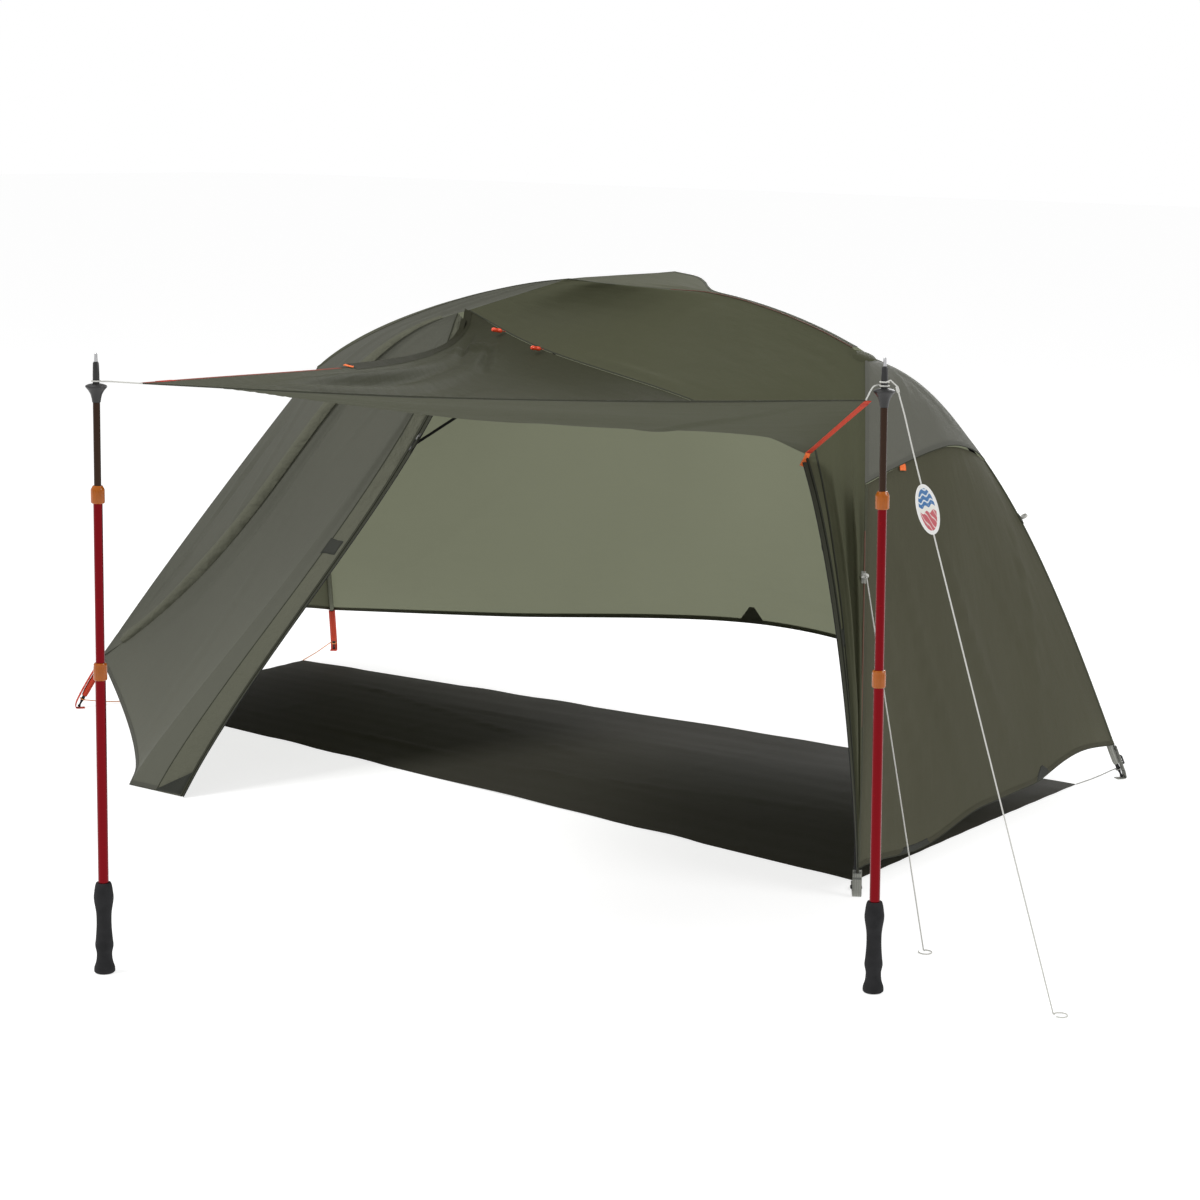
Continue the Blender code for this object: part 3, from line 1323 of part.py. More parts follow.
def make_walking_pole(side):
    """An inverted telescopic pole: its grip stands on the ground and its tip holds the awning."""
    foot, axis, reach = pole_axis(side)
    upper_lock = reach - UPPER_LOCK_BELOW_TIP - LOCK_LENGTH
    lower_lock = reach - LOWER_LOCK_BELOW_TIP - LOCK_LENGTH
    basket = reach - BASKET_BELOW_TIP
    bore = UPPER_SHAFT_RADIUS + SHAFT_CLEARANCE
    grip = [(0, 0), (GRIP_CAP_RADIUS * 0.8, 0), (GRIP_CAP_RADIUS, 0.004), (GRIP_CAP_RADIUS * 0.98, 0.010)]
    grip += [(POLE_GRIP_RADIUS * width, POLE_GRIP_LENGTH * height) for height, width in GRIP_SHAPE]
    grip += [(POLE_GRIP_RADIUS * 0.75, POLE_GRIP_LENGTH), (bore, POLE_GRIP_LENGTH), (bore, GRIP_SEAT),
             (0, GRIP_SEAT)]
    pieces = {
        "grip": (grip, "grip_foam", 16),
        "upper_shaft": (tube_profile(UPPER_SHAFT_RADIUS, UPPER_SHAFT_RADIUS - SHAFT_WALL,
                                     GRIP_SEAT + GAP, upper_lock - GAP), "shaft_red", 16),
        "upper_lock": (lock_profile(MIDDLE_SHAFT_RADIUS, upper_lock), "lock_amber", 16),
        "middle_shaft": (tube_profile(MIDDLE_SHAFT_RADIUS, MIDDLE_SHAFT_RADIUS - SHAFT_WALL,
                                      upper_lock - SHAFT_HIDDEN, lower_lock - GAP), "shaft_red", 16),
        "lower_lock": (lock_profile(LOWER_SHAFT_RADIUS, lower_lock), "lock_amber", 16),
        "lower_shaft": (tube_profile(LOWER_SHAFT_RADIUS, LOWER_SHAFT_RADIUS - SHAFT_WALL,
                                     lower_lock - SHAFT_HIDDEN, basket - BASKET_DEPTH - GAP),
                        "shaft_dark", 16),
        "basket": (basket_profile(basket), "pole_black", 16),
        "tip": (tip_profile(basket, reach), "tip_steel", 12),
    }
    for piece, (profile, finish, sides) in pieces.items():
        bm = bmesh.new()
        add_turned(bm, profile, vec(0, 0, 0), axis, sides)
        made = add_object(f"{side}_pole_{piece}", bm, finish)
        made.location = Vector(foot)


def lock_profile(shaft_radius, low):
    bore = shaft_radius + SHAFT_CLEARANCE
    high = low + LOCK_LENGTH
    return [(bore, low), (LOCK_RADIUS - 0.001, low), (LOCK_RADIUS, low + 0.002),
            (LOCK_RADIUS, high - 0.006), (shaft_radius + 0.0022, high), (bore, high)]


def basket_profile(top):
    """A cone that widens towards the tip into the basket's flat ring, with a bore for the ferrule."""
    bore = FERRULE_TIP_RADIUS + GAP
    low = top - BASKET_DEPTH
    rim = top - BASKET_RIM
    neck = LOWER_SHAFT_RADIUS + 0.001
    return [(bore, low), (neck, low), (neck * 1.5, rim - 0.010), (BASKET_RADIUS, rim - 0.002),
            (BASKET_RADIUS, rim), (FERRULE_TIP_RADIUS + 0.004, top), (bore, top)]


def tip_profile(basket, reach):
    """The ferrule through the basket and its steel point."""
    low = basket - BASKET_DEPTH
    point = reach - 0.014
    return [(0, low), (FERRULE_TIP_RADIUS, low), (FERRULE_TIP_RADIUS, basket + 0.015),
            (FERRULE_TOP_RADIUS, point - 0.002), (STEEL_RADIUS, point), (STEEL_RADIUS * 0.8, reach),
            (0, reach)]


def main():
    for old in list(bpy.data.objects):
        bpy.data.objects.remove(old, do_unlink=True)
    make_groundsheet()
    make_frame()
    make_brow_pole()
    make_brow_swivel()
    make_fly_roof()
    make_fly_rear()
    make_fly_foot_end()
    make_fly_head()
    make_fly_front_left()
    make_vestibule()
    make_fly_front_right()
    make_awning()
    make_zips()
    make_awning_webbing()
    make_corner_straps()
    make_corner_cords()
    make_buckles()
    make_inner_strap()
    make_guy_clips()
    make_guylines()
    make_tag()
    make_awning_ties()
    make_toggles()
    make_walking_pole("left")
    make_walking_pole("right")


main()
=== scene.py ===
# %% [markdown]
# # A solo backpacking tent, pitched with its door as an awning
#
# The tent is a sewn cover stretched over a frame of thin poles. Its door is unzipped, lifted and held
# out level by two walking poles that stand upside down on their grips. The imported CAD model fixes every
# size and place. This notebook dresses it: it rebuilds each piece of cloth on the same seam curves with
# its folds, adds bindings, zips and stitching, and gives every surface a finish made of nodes.
# Lengths are metres, X runs towards the head end, the door is on the -Y side and Z is up.

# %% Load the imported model
import math

import bmesh
import bpy
import numpy as np
from mathutils import Matrix, Vector, noise


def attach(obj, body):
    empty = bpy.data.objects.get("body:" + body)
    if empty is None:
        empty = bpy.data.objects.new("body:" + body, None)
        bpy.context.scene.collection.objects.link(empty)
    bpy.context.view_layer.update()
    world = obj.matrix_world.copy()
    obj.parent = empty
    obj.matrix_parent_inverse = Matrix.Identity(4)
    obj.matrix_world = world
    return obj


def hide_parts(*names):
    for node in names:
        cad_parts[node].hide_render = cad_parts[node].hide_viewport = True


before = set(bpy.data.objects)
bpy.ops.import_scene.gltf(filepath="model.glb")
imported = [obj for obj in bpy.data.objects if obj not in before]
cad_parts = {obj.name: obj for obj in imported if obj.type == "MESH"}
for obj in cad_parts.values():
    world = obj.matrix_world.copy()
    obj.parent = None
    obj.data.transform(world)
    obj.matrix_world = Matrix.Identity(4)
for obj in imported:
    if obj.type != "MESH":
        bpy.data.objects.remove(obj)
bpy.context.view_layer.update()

# %% [markdown]
# ## The camera
#
# A studio photographer stood low and far away with a long lens, a little turned, so that the ridge and
# the awning's front edge come out nearly level. A camera is only a matrix: its columns are the picture's
# right, its up, and the way back towards the photographer.

# %% The camera
def camera_matrix(place, heading, dip, roll):
    """A camera's matrix from its place and its heading, downward tilt and roll in degrees."""
    heading, dip, roll = (math.radians(x) for x in (heading, dip, roll))
    right = Vector((math.cos(heading), math.sin(heading), 0))
    level = Vector((-math.sin(heading), math.cos(heading), 0))
    ahead = level * math.cos(dip) - Vector((0, 0, math.sin(dip)))
    above = Vector((0, 0, math.cos(dip))) + level * math.sin(dip)
    columns = (right * math.cos(roll) + above * math.sin(roll),
               above * math.cos(roll) - right * math.sin(roll), -ahead)
    matrix = Matrix(columns).transposed().to_4x4()
    matrix.translation = place
    return matrix


lens = bpy.data.cameras.new("camera")
lens.lens = 77.34
lens.clip_end = 60.0
camera = bpy.data.objects.new("camera", lens)
camera.matrix_world = camera_matrix(place=(3.61, -4.76, 1.48), heading=36.32, dip=10.67, roll=0.98)
bpy.context.scene.collection.objects.link(camera)
bpy.context.scene.camera = camera
print("camera", round(camera.matrix_world.translation.length, 2), "m from the tent's middle")

# %% [markdown]
# ## Curves
#
# Every seam of the cover is a curve in space, and so is every pole and cord. A route keeps close samples
# of its curve and is read by the share of its length, so stations can be set evenly on it.

# %% Curves
def vec(x, y, z=0.0):
    return np.array([x, y, z], float)


UP, TO_DOOR = vec(0, 0, 1), vec(0, -1, 0)


def unit(v):
    return v / np.linalg.norm(v)


def facing(v, way):
    """A direction, turned about if it points away from the given way."""
    return v if v @ way > 0 else -v


def square_to(v, direction):
    """A unit vector square to a direction, as near as can be to the given one."""
    return unit(v - direction * (v @ direction))


def tangents(points):
    """The direction of a line at each of its points."""
    last = len(points) - 1
    return [unit(points[min(i + 1, last)] - points[max(i - 1, 0)]) for i in range(len(points))]


def bezier(p0, p1, p2, p3, t):
    s = 1.0 - t
    return s**3 * p0 + 3 * s**2 * t * p1 + 3 * s * t**2 * p2 + t**3 * p3


class Route:
    """A curve through close samples, read by the share of its length."""

    def __init__(self, samples):
        self.samples = np.array(samples, float)
        steps = np.linalg.norm(np.diff(self.samples, axis=0), axis=1)
        self.travel = np.concatenate([[0.0], np.cumsum(steps)])
        self.length = self.travel[-1]

    def at(self, share):
        reach = np.clip(share, 0.0, 1.0) * self.length
        return np.array([np.interp(reach, self.travel, self.samples[:, k]) for k in range(3)])

    def direction(self, share):
        return unit(self.at(min(share + 0.002, 1.0)) - self.at(max(share - 0.002, 0.0)))

    def part(self, start, stop, count):
        return [self.at(start + (stop - start) * i / count) for i in range(count + 1)]

    def share_at_height(self, height):
        return float(np.interp(-height, -self.samples[:, 2], self.travel) / self.length)

    def at_height(self, height):
        return self.at(self.share_at_height(height))

    def share_at_x(self, x):
        return float(np.interp(x, self.samples[:, 0], self.travel) / self.length)


def bezier_route(p0, p1, p2, p3, samples=200):
    return Route([bezier(p0, p1, p2, p3, i / samples) for i in range(samples + 1)])


def dense(points, times):
    """Points of the smooth curve through the given ones, with a number of steps from each to the next."""
    pts = [np.array(p, float) for p in points]
    pts = [2 * pts[0] - pts[1]] + pts + [2 * pts[-1] - pts[-2]]
    line = []
    for a, b, c, d in zip(pts, pts[1:], pts[2:], pts[3:]):
        for i in range(times):
            t = i / times
            line.append(0.5 * (2 * b + (c - a) * t + (2 * a - 5 * b + 4 * c - d) * t**2
                               + (3 * b - a - 3 * c + d) * t**3))
    return line + [pts[-2]]


def smooth_route(points, samples=24):
    return Route(dense(points, samples))


def straight(a, b, steps):
    return [a + (b - a) * i / steps for i in range(steps + 1)]


# %% [markdown]
# ## The seams
#
# A hub stands near each end of the ridge, and two legs run down from each hub. The cover's shoulder seams
# run from hub to hub over the tips of the short brow pole. The door's top edge, its two zips and the
# crease of the staked flap are the other lines that the cloth is cut to.

# %% The seams
HUB_REACH, BROW_X = 0.8, 0.16
FOOT_HUB = vec(-HUB_REACH, 0, 0.826)
HEAD_HUB = vec(HUB_REACH, 0, 0.988)
RIDGE = bezier_route(FOOT_HUB, vec(-0.677, 0, 0.962), vec(0.136, 0, 1.288), HEAD_HUB)
LEG_SHAPES = {-1: ((1.16, 0.48), (0.02, 0.815), (0.958, 0.11)),
              1: ((1.18, 0.6), (0.436, 0.849), (0.666, 0.532))}


def leg_route(end, side):
    """A leg's crease from its hub to the ground; end is -1 at the foot, side is -1 at the front."""
    stake, *handles = LEG_SHAPES[end]
    hub = HEAD_HUB if end > 0 else FOOT_HUB
    foot = vec(end * stake[0], side * stake[1])
    points = []
    for share, height in handles:
        flat = hub + (foot - hub) * share
        points.append(vec(flat[0], flat[1], height))
    return bezier_route(hub, *points, foot)


LEGS = {(end, side): leg_route(end, side) for end in (-1, 1) for side in (-1, 1)}
BROW_TOP = 1.122
BROW = {side: vec(BROW_X, side * 0.204, BROW_TOP) for side in (-1, 1)}
CORNER_LIFT = {(-1, -1): 0.125, (-1, 1): 0.125, (1, -1): 0.052, (1, 1): 0.082}
DOOR_TOP = smooth_route([(-0.094, -0.24, 1.04), (0.16, -0.3, 0.974), (0.59, -0.35, 0.9),
                         (0.845, -0.302, 0.807)])


def cover_corner(end, side):
    """Where a corner of the cover ends on its leg's crease."""
    return LEGS[end, side].at_height(CORNER_LIFT[end, side])


LEFT_CORNER = cover_corner(-1, -1)
CREASE = bezier_route(DOOR_TOP.at(0), vec(-0.47, -0.325, 0.955), vec(-0.52, -0.345, 0.52), LEFT_CORNER)
LEFT_ZIP = bezier_route(DOOR_TOP.at(0), vec(-0.165, -0.26, 0.7), vec(-0.27, -0.74, 0.33),
                        vec(-0.346, -0.906, 0.002))
RIGHT_ZIP = bezier_route(DOOR_TOP.at(1), vec(1.01, -0.44, 0.64), vec(1.12, -0.535, 0.33),
                         vec(1.17, -0.585, 0.045))
FLOOR_CORNER = {-1: vec(-1.12, 0.33), 1: vec(1.12, 0.4875)}
FLOOR_SHIFT = vec(0, -0.02)
HUB_TRIM = 0.028
FINE = 5


def corner_name(end, side):
    return f"{'foot' if end < 0 else 'head'}_{'front' if side < 0 else 'rear'}"


def floor_corner(end, side):
    """A corner of the groundsheet, which lies a little towards the door."""
    return FLOOR_CORNER[end] * vec(1, side, 1) + FLOOR_SHIFT


print("ridge", round(RIDGE.length, 3), "m, door top", round(DOOR_TOP.length, 3), "m")

# %% [markdown]
# ## Meshes
#
# Cloth, tape, tube and turned plastic are all grids of points: rows of stations, with a profile at each.
# One class collects such grids into a mesh and lays texture coordinates on them in metres, so that a
# weave or a row of stitches has its true size on every piece.

# %% Meshes
class Shape:
    """Collects grids of points into one mesh, with texture coordinates in metres."""

    def __init__(self):
        self.points, self.faces, self.coordinates, self.slots = [], [], [], []

    def grid(self, grid, wrap=False, caps=False, finish=0):
        grid = np.asarray(grid, float)
        rows, columns = grid.shape[:2]
        first = len(self.points)
        self.points += grid.reshape(-1, 3).tolist()
        down = np.linalg.norm(np.diff(grid, axis=0), axis=2).mean(axis=1)
        round_it = np.concatenate([grid, grid[:, :1]], axis=1)
        over = np.linalg.norm(np.diff(round_it, axis=1), axis=2).mean(axis=0)
        down, over = np.concatenate([[0], np.cumsum(down)]), np.concatenate([[0], np.cumsum(over)])
        for i in range(rows - 1):
            for j in range(columns if wrap else columns - 1):
                corners = ((i, j), (i + 1, j), (i + 1, j + 1), (i, j + 1))
                self.faces.append([first + p * columns + q % columns for p, q in corners])
                self.coordinates.append([(down[p], over[q]) for p, q in corners])
                self.slots.append(finish)
        if caps:
            for i in (0, rows - 1):
                self.faces.append([first + i * columns + j for j in range(columns)])
                self.coordinates.append([(p[0], p[1]) for p in grid[i]])
                self.slots.append(finish)
        return self

    def loop(self, grid, finish=0):
        """Rings that close on themselves, open at both ends."""
        return self.grid(grid, wrap=True, finish=finish)

    def rod(self, grid, finish=0):
        """Rings that close on themselves, with a flat cap at both ends."""
        return self.grid(grid, wrap=True, caps=True, finish=finish)

    def make(self, name, finishes, body="tent", slot=None, replaces=(), sharp=40.0, outward=None):
        mesh = bpy.data.meshes.new(name)
        mesh.from_pydata(self.points, [], self.faces)
        layer = mesh.uv_layers.new(name="UVMap")
        layer.data.foreach_set("uv", np.array(sum(self.coordinates, [])).ravel())
        mesh.polygons.foreach_set("material_index", self.slots)
        bm = bmesh.new()
        bm.from_mesh(mesh)
        bmesh.ops.remove_doubles(bm, verts=bm.verts, dist=2e-6)
        bmesh.ops.recalc_face_normals(bm, faces=bm.faces)
        if outward is not None:
            total = sum((f.normal * f.calc_area() for f in bm.faces), Vector())
            if total.dot(Vector(outward)) < 0:
                bmesh.ops.reverse_faces(bm, faces=bm.faces)
        bm.to_mesh(mesh)
        bm.free()
        mesh.shade_smooth()
        mesh.set_sharp_from_angle(angle=math.radians(sharp))
        for finish in finishes if isinstance(finishes, (list, tuple)) else [finishes]:
            mesh.materials.append(finish)
        made = bpy.data.objects.new(name, mesh)
        bpy.context.scene.collection.objects.link(made)
        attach(made, body)
        if replaces:
            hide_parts(*replaces)
        print(f"{name}: {len(mesh.vertices)} points on {body}")
        return made


# %% Rings and strips
def side_vectors(points):
    """Two vectors square to a line at each of its points, carried along without twist."""
    along = tangents(points)
    side = square_to(UP if abs(along[0][2]) < 0.9 else vec(1, 0, 0), along[0])
    pairs = []
    for tangent in along:
        side = square_to(side, tangent)
        pairs.append((side, np.cross(tangent, side)))
    return pairs


def full_turn(sides):
    return [2 * math.pi * k / sides for k in range(sides)]


def around(centre, a, b, radius, turns):
    """Points of a circle at the given turns; a and b are square to its axis."""
    return [centre + radius * (math.cos(t) * a + math.sin(t) * b) for t in turns]


def tube(points, radius, sides):
    """Rings round a line; radius is a number or one for each point."""
    radii = np.broadcast_to(radius, len(points))
    return np.array([around(p, a, b, r, full_turn(sides))
                     for p, r, (a, b) in zip(points, radii, side_vectors(points))])


def axis_frame(axis):
    a = square_to(vec(1, 0, 0) if abs(axis[0]) < 0.9 else vec(0, 1, 0), axis)
    return a, np.cross(axis, a)


def turned(profile, base, axis, sides):
    """Rings of a profile of (radius, height) turned round an axis."""
    a, b = axis_frame(axis)
    return np.array([around(base + axis * h, a, b, r, full_turn(sides)) for r, h in profile])


def strip(line, inward, normal, profile):
    """A profile of (inward, outward) steps carried along a line on the cloth."""
    return np.array([[p + a * u + n * v for u, v in profile] for p, a, n in zip(line, inward, normal)])


# %% Surfaces
def grid_normals(grid, outward):
    normals = np.cross(np.gradient(grid, axis=0), np.gradient(grid, axis=1))
    sizes = np.linalg.norm(normals, axis=2, keepdims=True)
    mean = unit(normals.sum(axis=(0, 1)))
    normals = np.where(sizes > 1e-9, normals / np.maximum(sizes, 1e-9), mean)
    return normals if mean @ unit(np.array(outward, float)) > 0 else -normals


def coons(start, stop, low, high):
    """Fills four edges: start and stop run across, low and high run along."""
    start, stop, low, high = (np.array(x) for x in (start, stop, low, high))
    u = np.linspace(0, 1, len(low))[:, None, None]
    v = np.linspace(0, 1, len(start))[None, :, None]
    corners = ((1 - u) * (1 - v) * low[0] + u * (1 - v) * low[-1] + (1 - u) * v * high[0] + u * v * high[-1])
    return (1 - u) * start + u * stop + (1 - v) * low[:, None] + v * high[:, None] - corners


# %% [markdown]
# ## Finishes
#
# A finish is a small program of nodes. The class below wraps one socket and gives it arithmetic, so a
# pattern can be written as an expression, and the finish has one method that makes any other node.
# What changes over a surface goes only to colour, roughness, the normal and the like. What is constant
# is set on the shader itself.

# %% Finishes
def mix_shaders(tree, first, second, output):
    """Links two shaders to an output through a Mix Shader, and gives the socket of its share."""
    mixer = tree.nodes.new("ShaderNodeMixShader")
    for place, shader in enumerate((first, second), 1):
        tree.links.new(shader.outputs[0], mixer.inputs[place])
    tree.links.new(mixer.outputs[0], output.inputs[0])
    return mixer.inputs[0]


class Value:
    """A number inside a finish; arithmetic on it adds Math nodes."""

    def __init__(self, finish, socket):
        self.finish, self.socket = finish, socket

    def math(self, operation, *values):
        return self.finish.node("Math", {"operation": operation}, dict(enumerate(values)))

    def __add__(self, other):
        return self.math("ADD", self, other)

    def __sub__(self, other):
        return self.math("SUBTRACT", self, other)

    def __rsub__(self, other):
        return self.math("SUBTRACT", other, self)

    def __mul__(self, other):
        return self.math("MULTIPLY", self, other)

    __radd__, __rmul__ = __add__, __mul__

    def __lt__(self, other):
        return self.math("LESS_THAN", self, other)

    def __gt__(self, other):
        return self.math("GREATER_THAN", self, other)


# %% A finish
class Finish:
    """A material made of nodes round one Principled shader."""

    def __init__(self, name, **constants):
        self.material = bpy.data.materials.new(name)
        self.material.use_nodes = True
        self.tree = self.material.node_tree
        self.shader = self.tree.nodes["Principled BSDF"]
        for socket, value in constants.items():
            self.shader.inputs[socket.replace("_", " ")].default_value = value

    def node(self, kind, settings, values, output=0):
        made = self.tree.nodes.new("ShaderNode" + kind)
        for key, value in settings.items():
            setattr(made, key, value)
        for key, value in values.items():
            self.feed(made.inputs[key], value)
        return Value(self, made.outputs[output])

    def feed(self, socket, value):
        if isinstance(value, Value):
            self.tree.links.new(value.socket, socket)
        else:
            socket.default_value = value

    def mix(self, factor, a, b):
        pair = {6: colour(a), 7: colour(b)}
        return self.node("Mix", {"data_type": "RGBA"}, {0: factor, **pair}, 2)

    def surface(self):
        return self.node("UVMap", {"uv_map": "UVMap"}, {})

    def metres(self):
        """Texture coordinates in metres along and across a piece."""
        parts = self.tree.nodes.new("ShaderNodeSeparateXYZ")
        self.feed(parts.inputs[0], self.surface())
        return Value(self, parts.outputs[0]), Value(self, parts.outputs[1])

    def space(self):
        return self.node("TexCoord", {}, {}, "Object")

    def noise(self, place, scale, detail, stretch=None, **values):
        if stretch:
            place = self.node("VectorMath", {"operation": "MULTIPLY"}, {0: place, 1: stretch})
        return self.node("TexNoise", {}, {"Vector": place, "Scale": scale, "Detail": detail, **values})

    def band(self, value, pitch, width):
        """1 on bands of a share of each pitch, and 0 between them."""
        return self.node("Math", {"operation": "FRACT"}, {0: value * (1.0 / pitch)}) < width

    def wave(self, value, pitch):
        """A smooth wave from 0 to 1 with a pitch in metres."""
        return self.node("Math", {"operation": "SINE"}, {0: value * (2 * math.pi / pitch)}) * 0.5 + 0.5

    def greater(self, a, b):
        return self.node("Math", {"operation": "MAXIMUM"}, {0: a, 1: b})

    def bump(self, height, strength, distance, **values):
        return self.node("Bump", {}, {"Strength": strength, "Distance": distance, "Height": height, **values})

    def blend(self, share, other):
        """Shows another shader over the main one, by a constant share."""
        mix_shaders(self.tree, self.shader, other, self.tree.nodes["Material Output"]).default_value = share

    def show(self, **varying):
        for socket, value in varying.items():
            self.feed(self.shader.inputs[socket.replace("_", " ")], value)
        return self.material


def colour(value):
    """A value as it is, or a colour with its alpha."""
    return value if isinstance(value, Value) else (*value[:3], 1.0)


def shade(value, factor):
    return tuple(min(1.0, c * factor) for c in value)


# %% [markdown]
# ## Cloth
#
# The cover is thin coated nylon: a fine plain weave, with a thicker thread every few millimetres both
# ways that stops a rip. Light falls through it, so the far wall glows from inside. A share of the shader
# is therefore a Translucent one, which shows the light behind the sheet. Real tension leaves long, faint
# wrinkles, and stretched noise in the normal gives those that are too small to model.

# %% Cloth
RIP_STOP, YARN = 0.0052, 0.0009


def cloth(name, face, through, share, roughness=0.62, crinkle=0.26, along=(3.0, 14.0, 1.0)):
    finish = Finish(name, Specular_IOR_Level=0.12)
    x, y = finish.metres()
    threads = finish.greater(finish.band(x, RIP_STOP, 0.14), finish.band(y, RIP_STOP, 0.14))
    place = finish.space()
    tone = finish.noise(place, 2.4, 3.0)
    dust = finish.noise(place, 38.0, 4.0)
    base = finish.mix(tone, shade(face, 0.9), shade(face, 1.12))
    base = finish.mix(dust * 0.16, base, shade(face, 1.35))
    base = finish.mix(threads * 0.16, base, shade(face, 0.72))
    long = finish.noise(finish.surface(), 1.0, 3.0, along, Roughness=0.55)
    small = finish.noise(place, 26.0, 3.0)
    weave = finish.wave(x, YARN) * finish.wave(y, YARN)
    soft = finish.bump(long * 0.75 + small * 0.25, crinkle, 0.02)
    fine = finish.bump(threads + weave * 0.4, 0.25, 0.0004, Normal=soft)
    finish.show(Base_Color=base, Roughness=tone * 0.12 + (roughness - 0.06), Normal=fine)
    lit = finish.tree.nodes.new("ShaderNodeBsdfTranslucent")
    finish.feed(lit.inputs["Color"], finish.mix(tone, shade(through, 0.93), shade(through, 1.06)))
    finish.feed(lit.inputs["Normal"], fine)
    finish.blend(share, lit)
    return finish.material


OLIVE = cloth("coated_cloth_olive", (0.06, 0.062, 0.036), (0.24, 0.25, 0.16), 0.2)
WALL = cloth("coated_cloth_wall", (0.059, 0.057, 0.036), (0.24, 0.24, 0.16), 0.2)
# A lighter copy of the olive cloth for the panels on the left side: painted light where they face the lamps.
LIT_LEFT_CLOTH = cloth("coated_cloth_left", (0.086, 0.087, 0.071), (0.24, 0.25, 0.18), 0.2, crinkle=0.16,
             along=(2.0, 16.0, 1.0))
REAR = cloth("coated_cloth_rear", (0.06, 0.062, 0.04), (0.33, 0.35, 0.24), 0.4, crinkle=0.18)
# A darker copy of the olive cloth for the lifted door: painted shade.
SHADED_AWNING_CLOTH = cloth("coated_cloth_awning", (0.03, 0.03, 0.017), (0.17, 0.18, 0.125), 0.22,
               along=(12.0, 3.0, 1.0))
# A pale copy of the olive cloth for the hood: painted sheen of the light from behind.
HOOD_SHEEN_CLOTH = cloth("coated_cloth_hood", (0.108, 0.109, 0.092), (0.28, 0.28, 0.24), 0.25)
# A lighter copy again for the rolled crease and the storm flap: painted light on their lit tops.
LIT_FLAP_CLOTH = cloth("coated_cloth_flap", (0.108, 0.11, 0.08), (0.24, 0.25, 0.18), 0.15, crinkle=0.6,
             along=(30.0, 30.0, 1.0))
SLEEVE = cloth("pole_sleeve", (0.26, 0.27, 0.2), (0.3, 0.31, 0.22), 0.3)
FLOOR_CLOTH = cloth("groundsheet_cloth", (0.043, 0.041, 0.032), (0.02, 0.02, 0.014), 0.05,
                    roughness=0.7, crinkle=0.12, along=(2.5, 9.0, 1.0))


# %% Tapes
def tape(name, face, rib=0.0012, stitch=None, roughness=0.75):
    """Woven webbing or binding: ribs across it, a twill, and a row of stitches near each edge."""
    finish = Finish(name, Specular_IOR_Level=0.25)
    x, y = finish.metres()
    ribs = finish.wave(x, rib)
    twill = finish.wave(x + y, rib * 0.8)
    dirt = finish.noise(finish.space(), 45.0, 3.0)
    base = finish.mix(dirt, shade(face, 0.78), shade(face, 1.12))
    base = finish.mix(ribs * 0.25, base, shade(face, 0.6))
    height = ribs * 0.7 + twill * 0.3
    if stitch:
        dashes = finish.band(x, 0.0032, 0.6) * finish.band(y + 0.0011, 0.0046, 0.18)
        base = finish.mix(dashes * 0.8, base, stitch)
        height = height - dashes * 0.6
    return finish.show(Base_Color=base, Roughness=dirt * 0.1 + (roughness - 0.05),
                       Normal=finish.bump(height, 0.5, 0.0004))


# %% Cord, plastic, metal and foam
def braid(name, face):
    """A braided cord: two crossing spirals of strands."""
    finish = Finish(name, Specular_IOR_Level=0.3)
    x, y = finish.metres()
    left = finish.wave(x + y * 1.4, 0.003)
    right = finish.wave(x - y * 1.4, 0.003)
    strands = finish.greater(left, right)
    # Painted shade: the grooves between the strands are darker.
    base = finish.mix(strands, shade(face, 0.62), face)
    return finish.show(Base_Color=base, Roughness=0.75 - strands * 0.1,
                       Normal=finish.bump(strands, 0.6, 0.0005))


def plastic(name, face, roughness, grain=900.0, **constants):
    """Moulded plastic with a fine grain, slightly rubbed."""
    finish = Finish(name, **constants)
    place = finish.space()
    grain_height = finish.noise(place, grain, 2.0)
    rubbed = finish.noise(place, 60.0, 3.0)
    base = finish.mix(rubbed, shade(face, 0.85), shade(face, 1.25))
    return finish.show(Base_Color=base, Roughness=rubbed * 0.16 + (roughness - 0.08),
                       Normal=finish.bump(grain_height, 0.12, 0.0004))


def anodised(name, face, roughness=0.24):
    """Dyed aluminium tube, drawn lengthwise, with faint worn spots."""
    finish = Finish(name, Metallic=0.85, Specular_IOR_Level=0.3, Coat_Weight=0.05, Coat_Roughness=0.12)
    drawn = finish.noise(finish.surface(), 1.0, 3.0, (18.0, 900.0, 1.0))
    worn = finish.noise(finish.surface(), 1.0, 4.0, (90.0, 60.0, 1.0))
    base = finish.mix(drawn * 0.5, face, shade(face, 0.7))
    base = finish.mix((worn > 0.66) * 0.18, base, shade(face, 1.9))
    return finish.show(Base_Color=base, Roughness=drawn * 0.12 + worn * 0.08 + (roughness - 0.1),
                       Normal=finish.bump(drawn, 0.05, 0.0003))


# %% The finishes of the small parts
RED_WEBBING = tape("red_webbing", (0.5, 0.04, 0.016), stitch=(0.66, 0.12, 0.05))
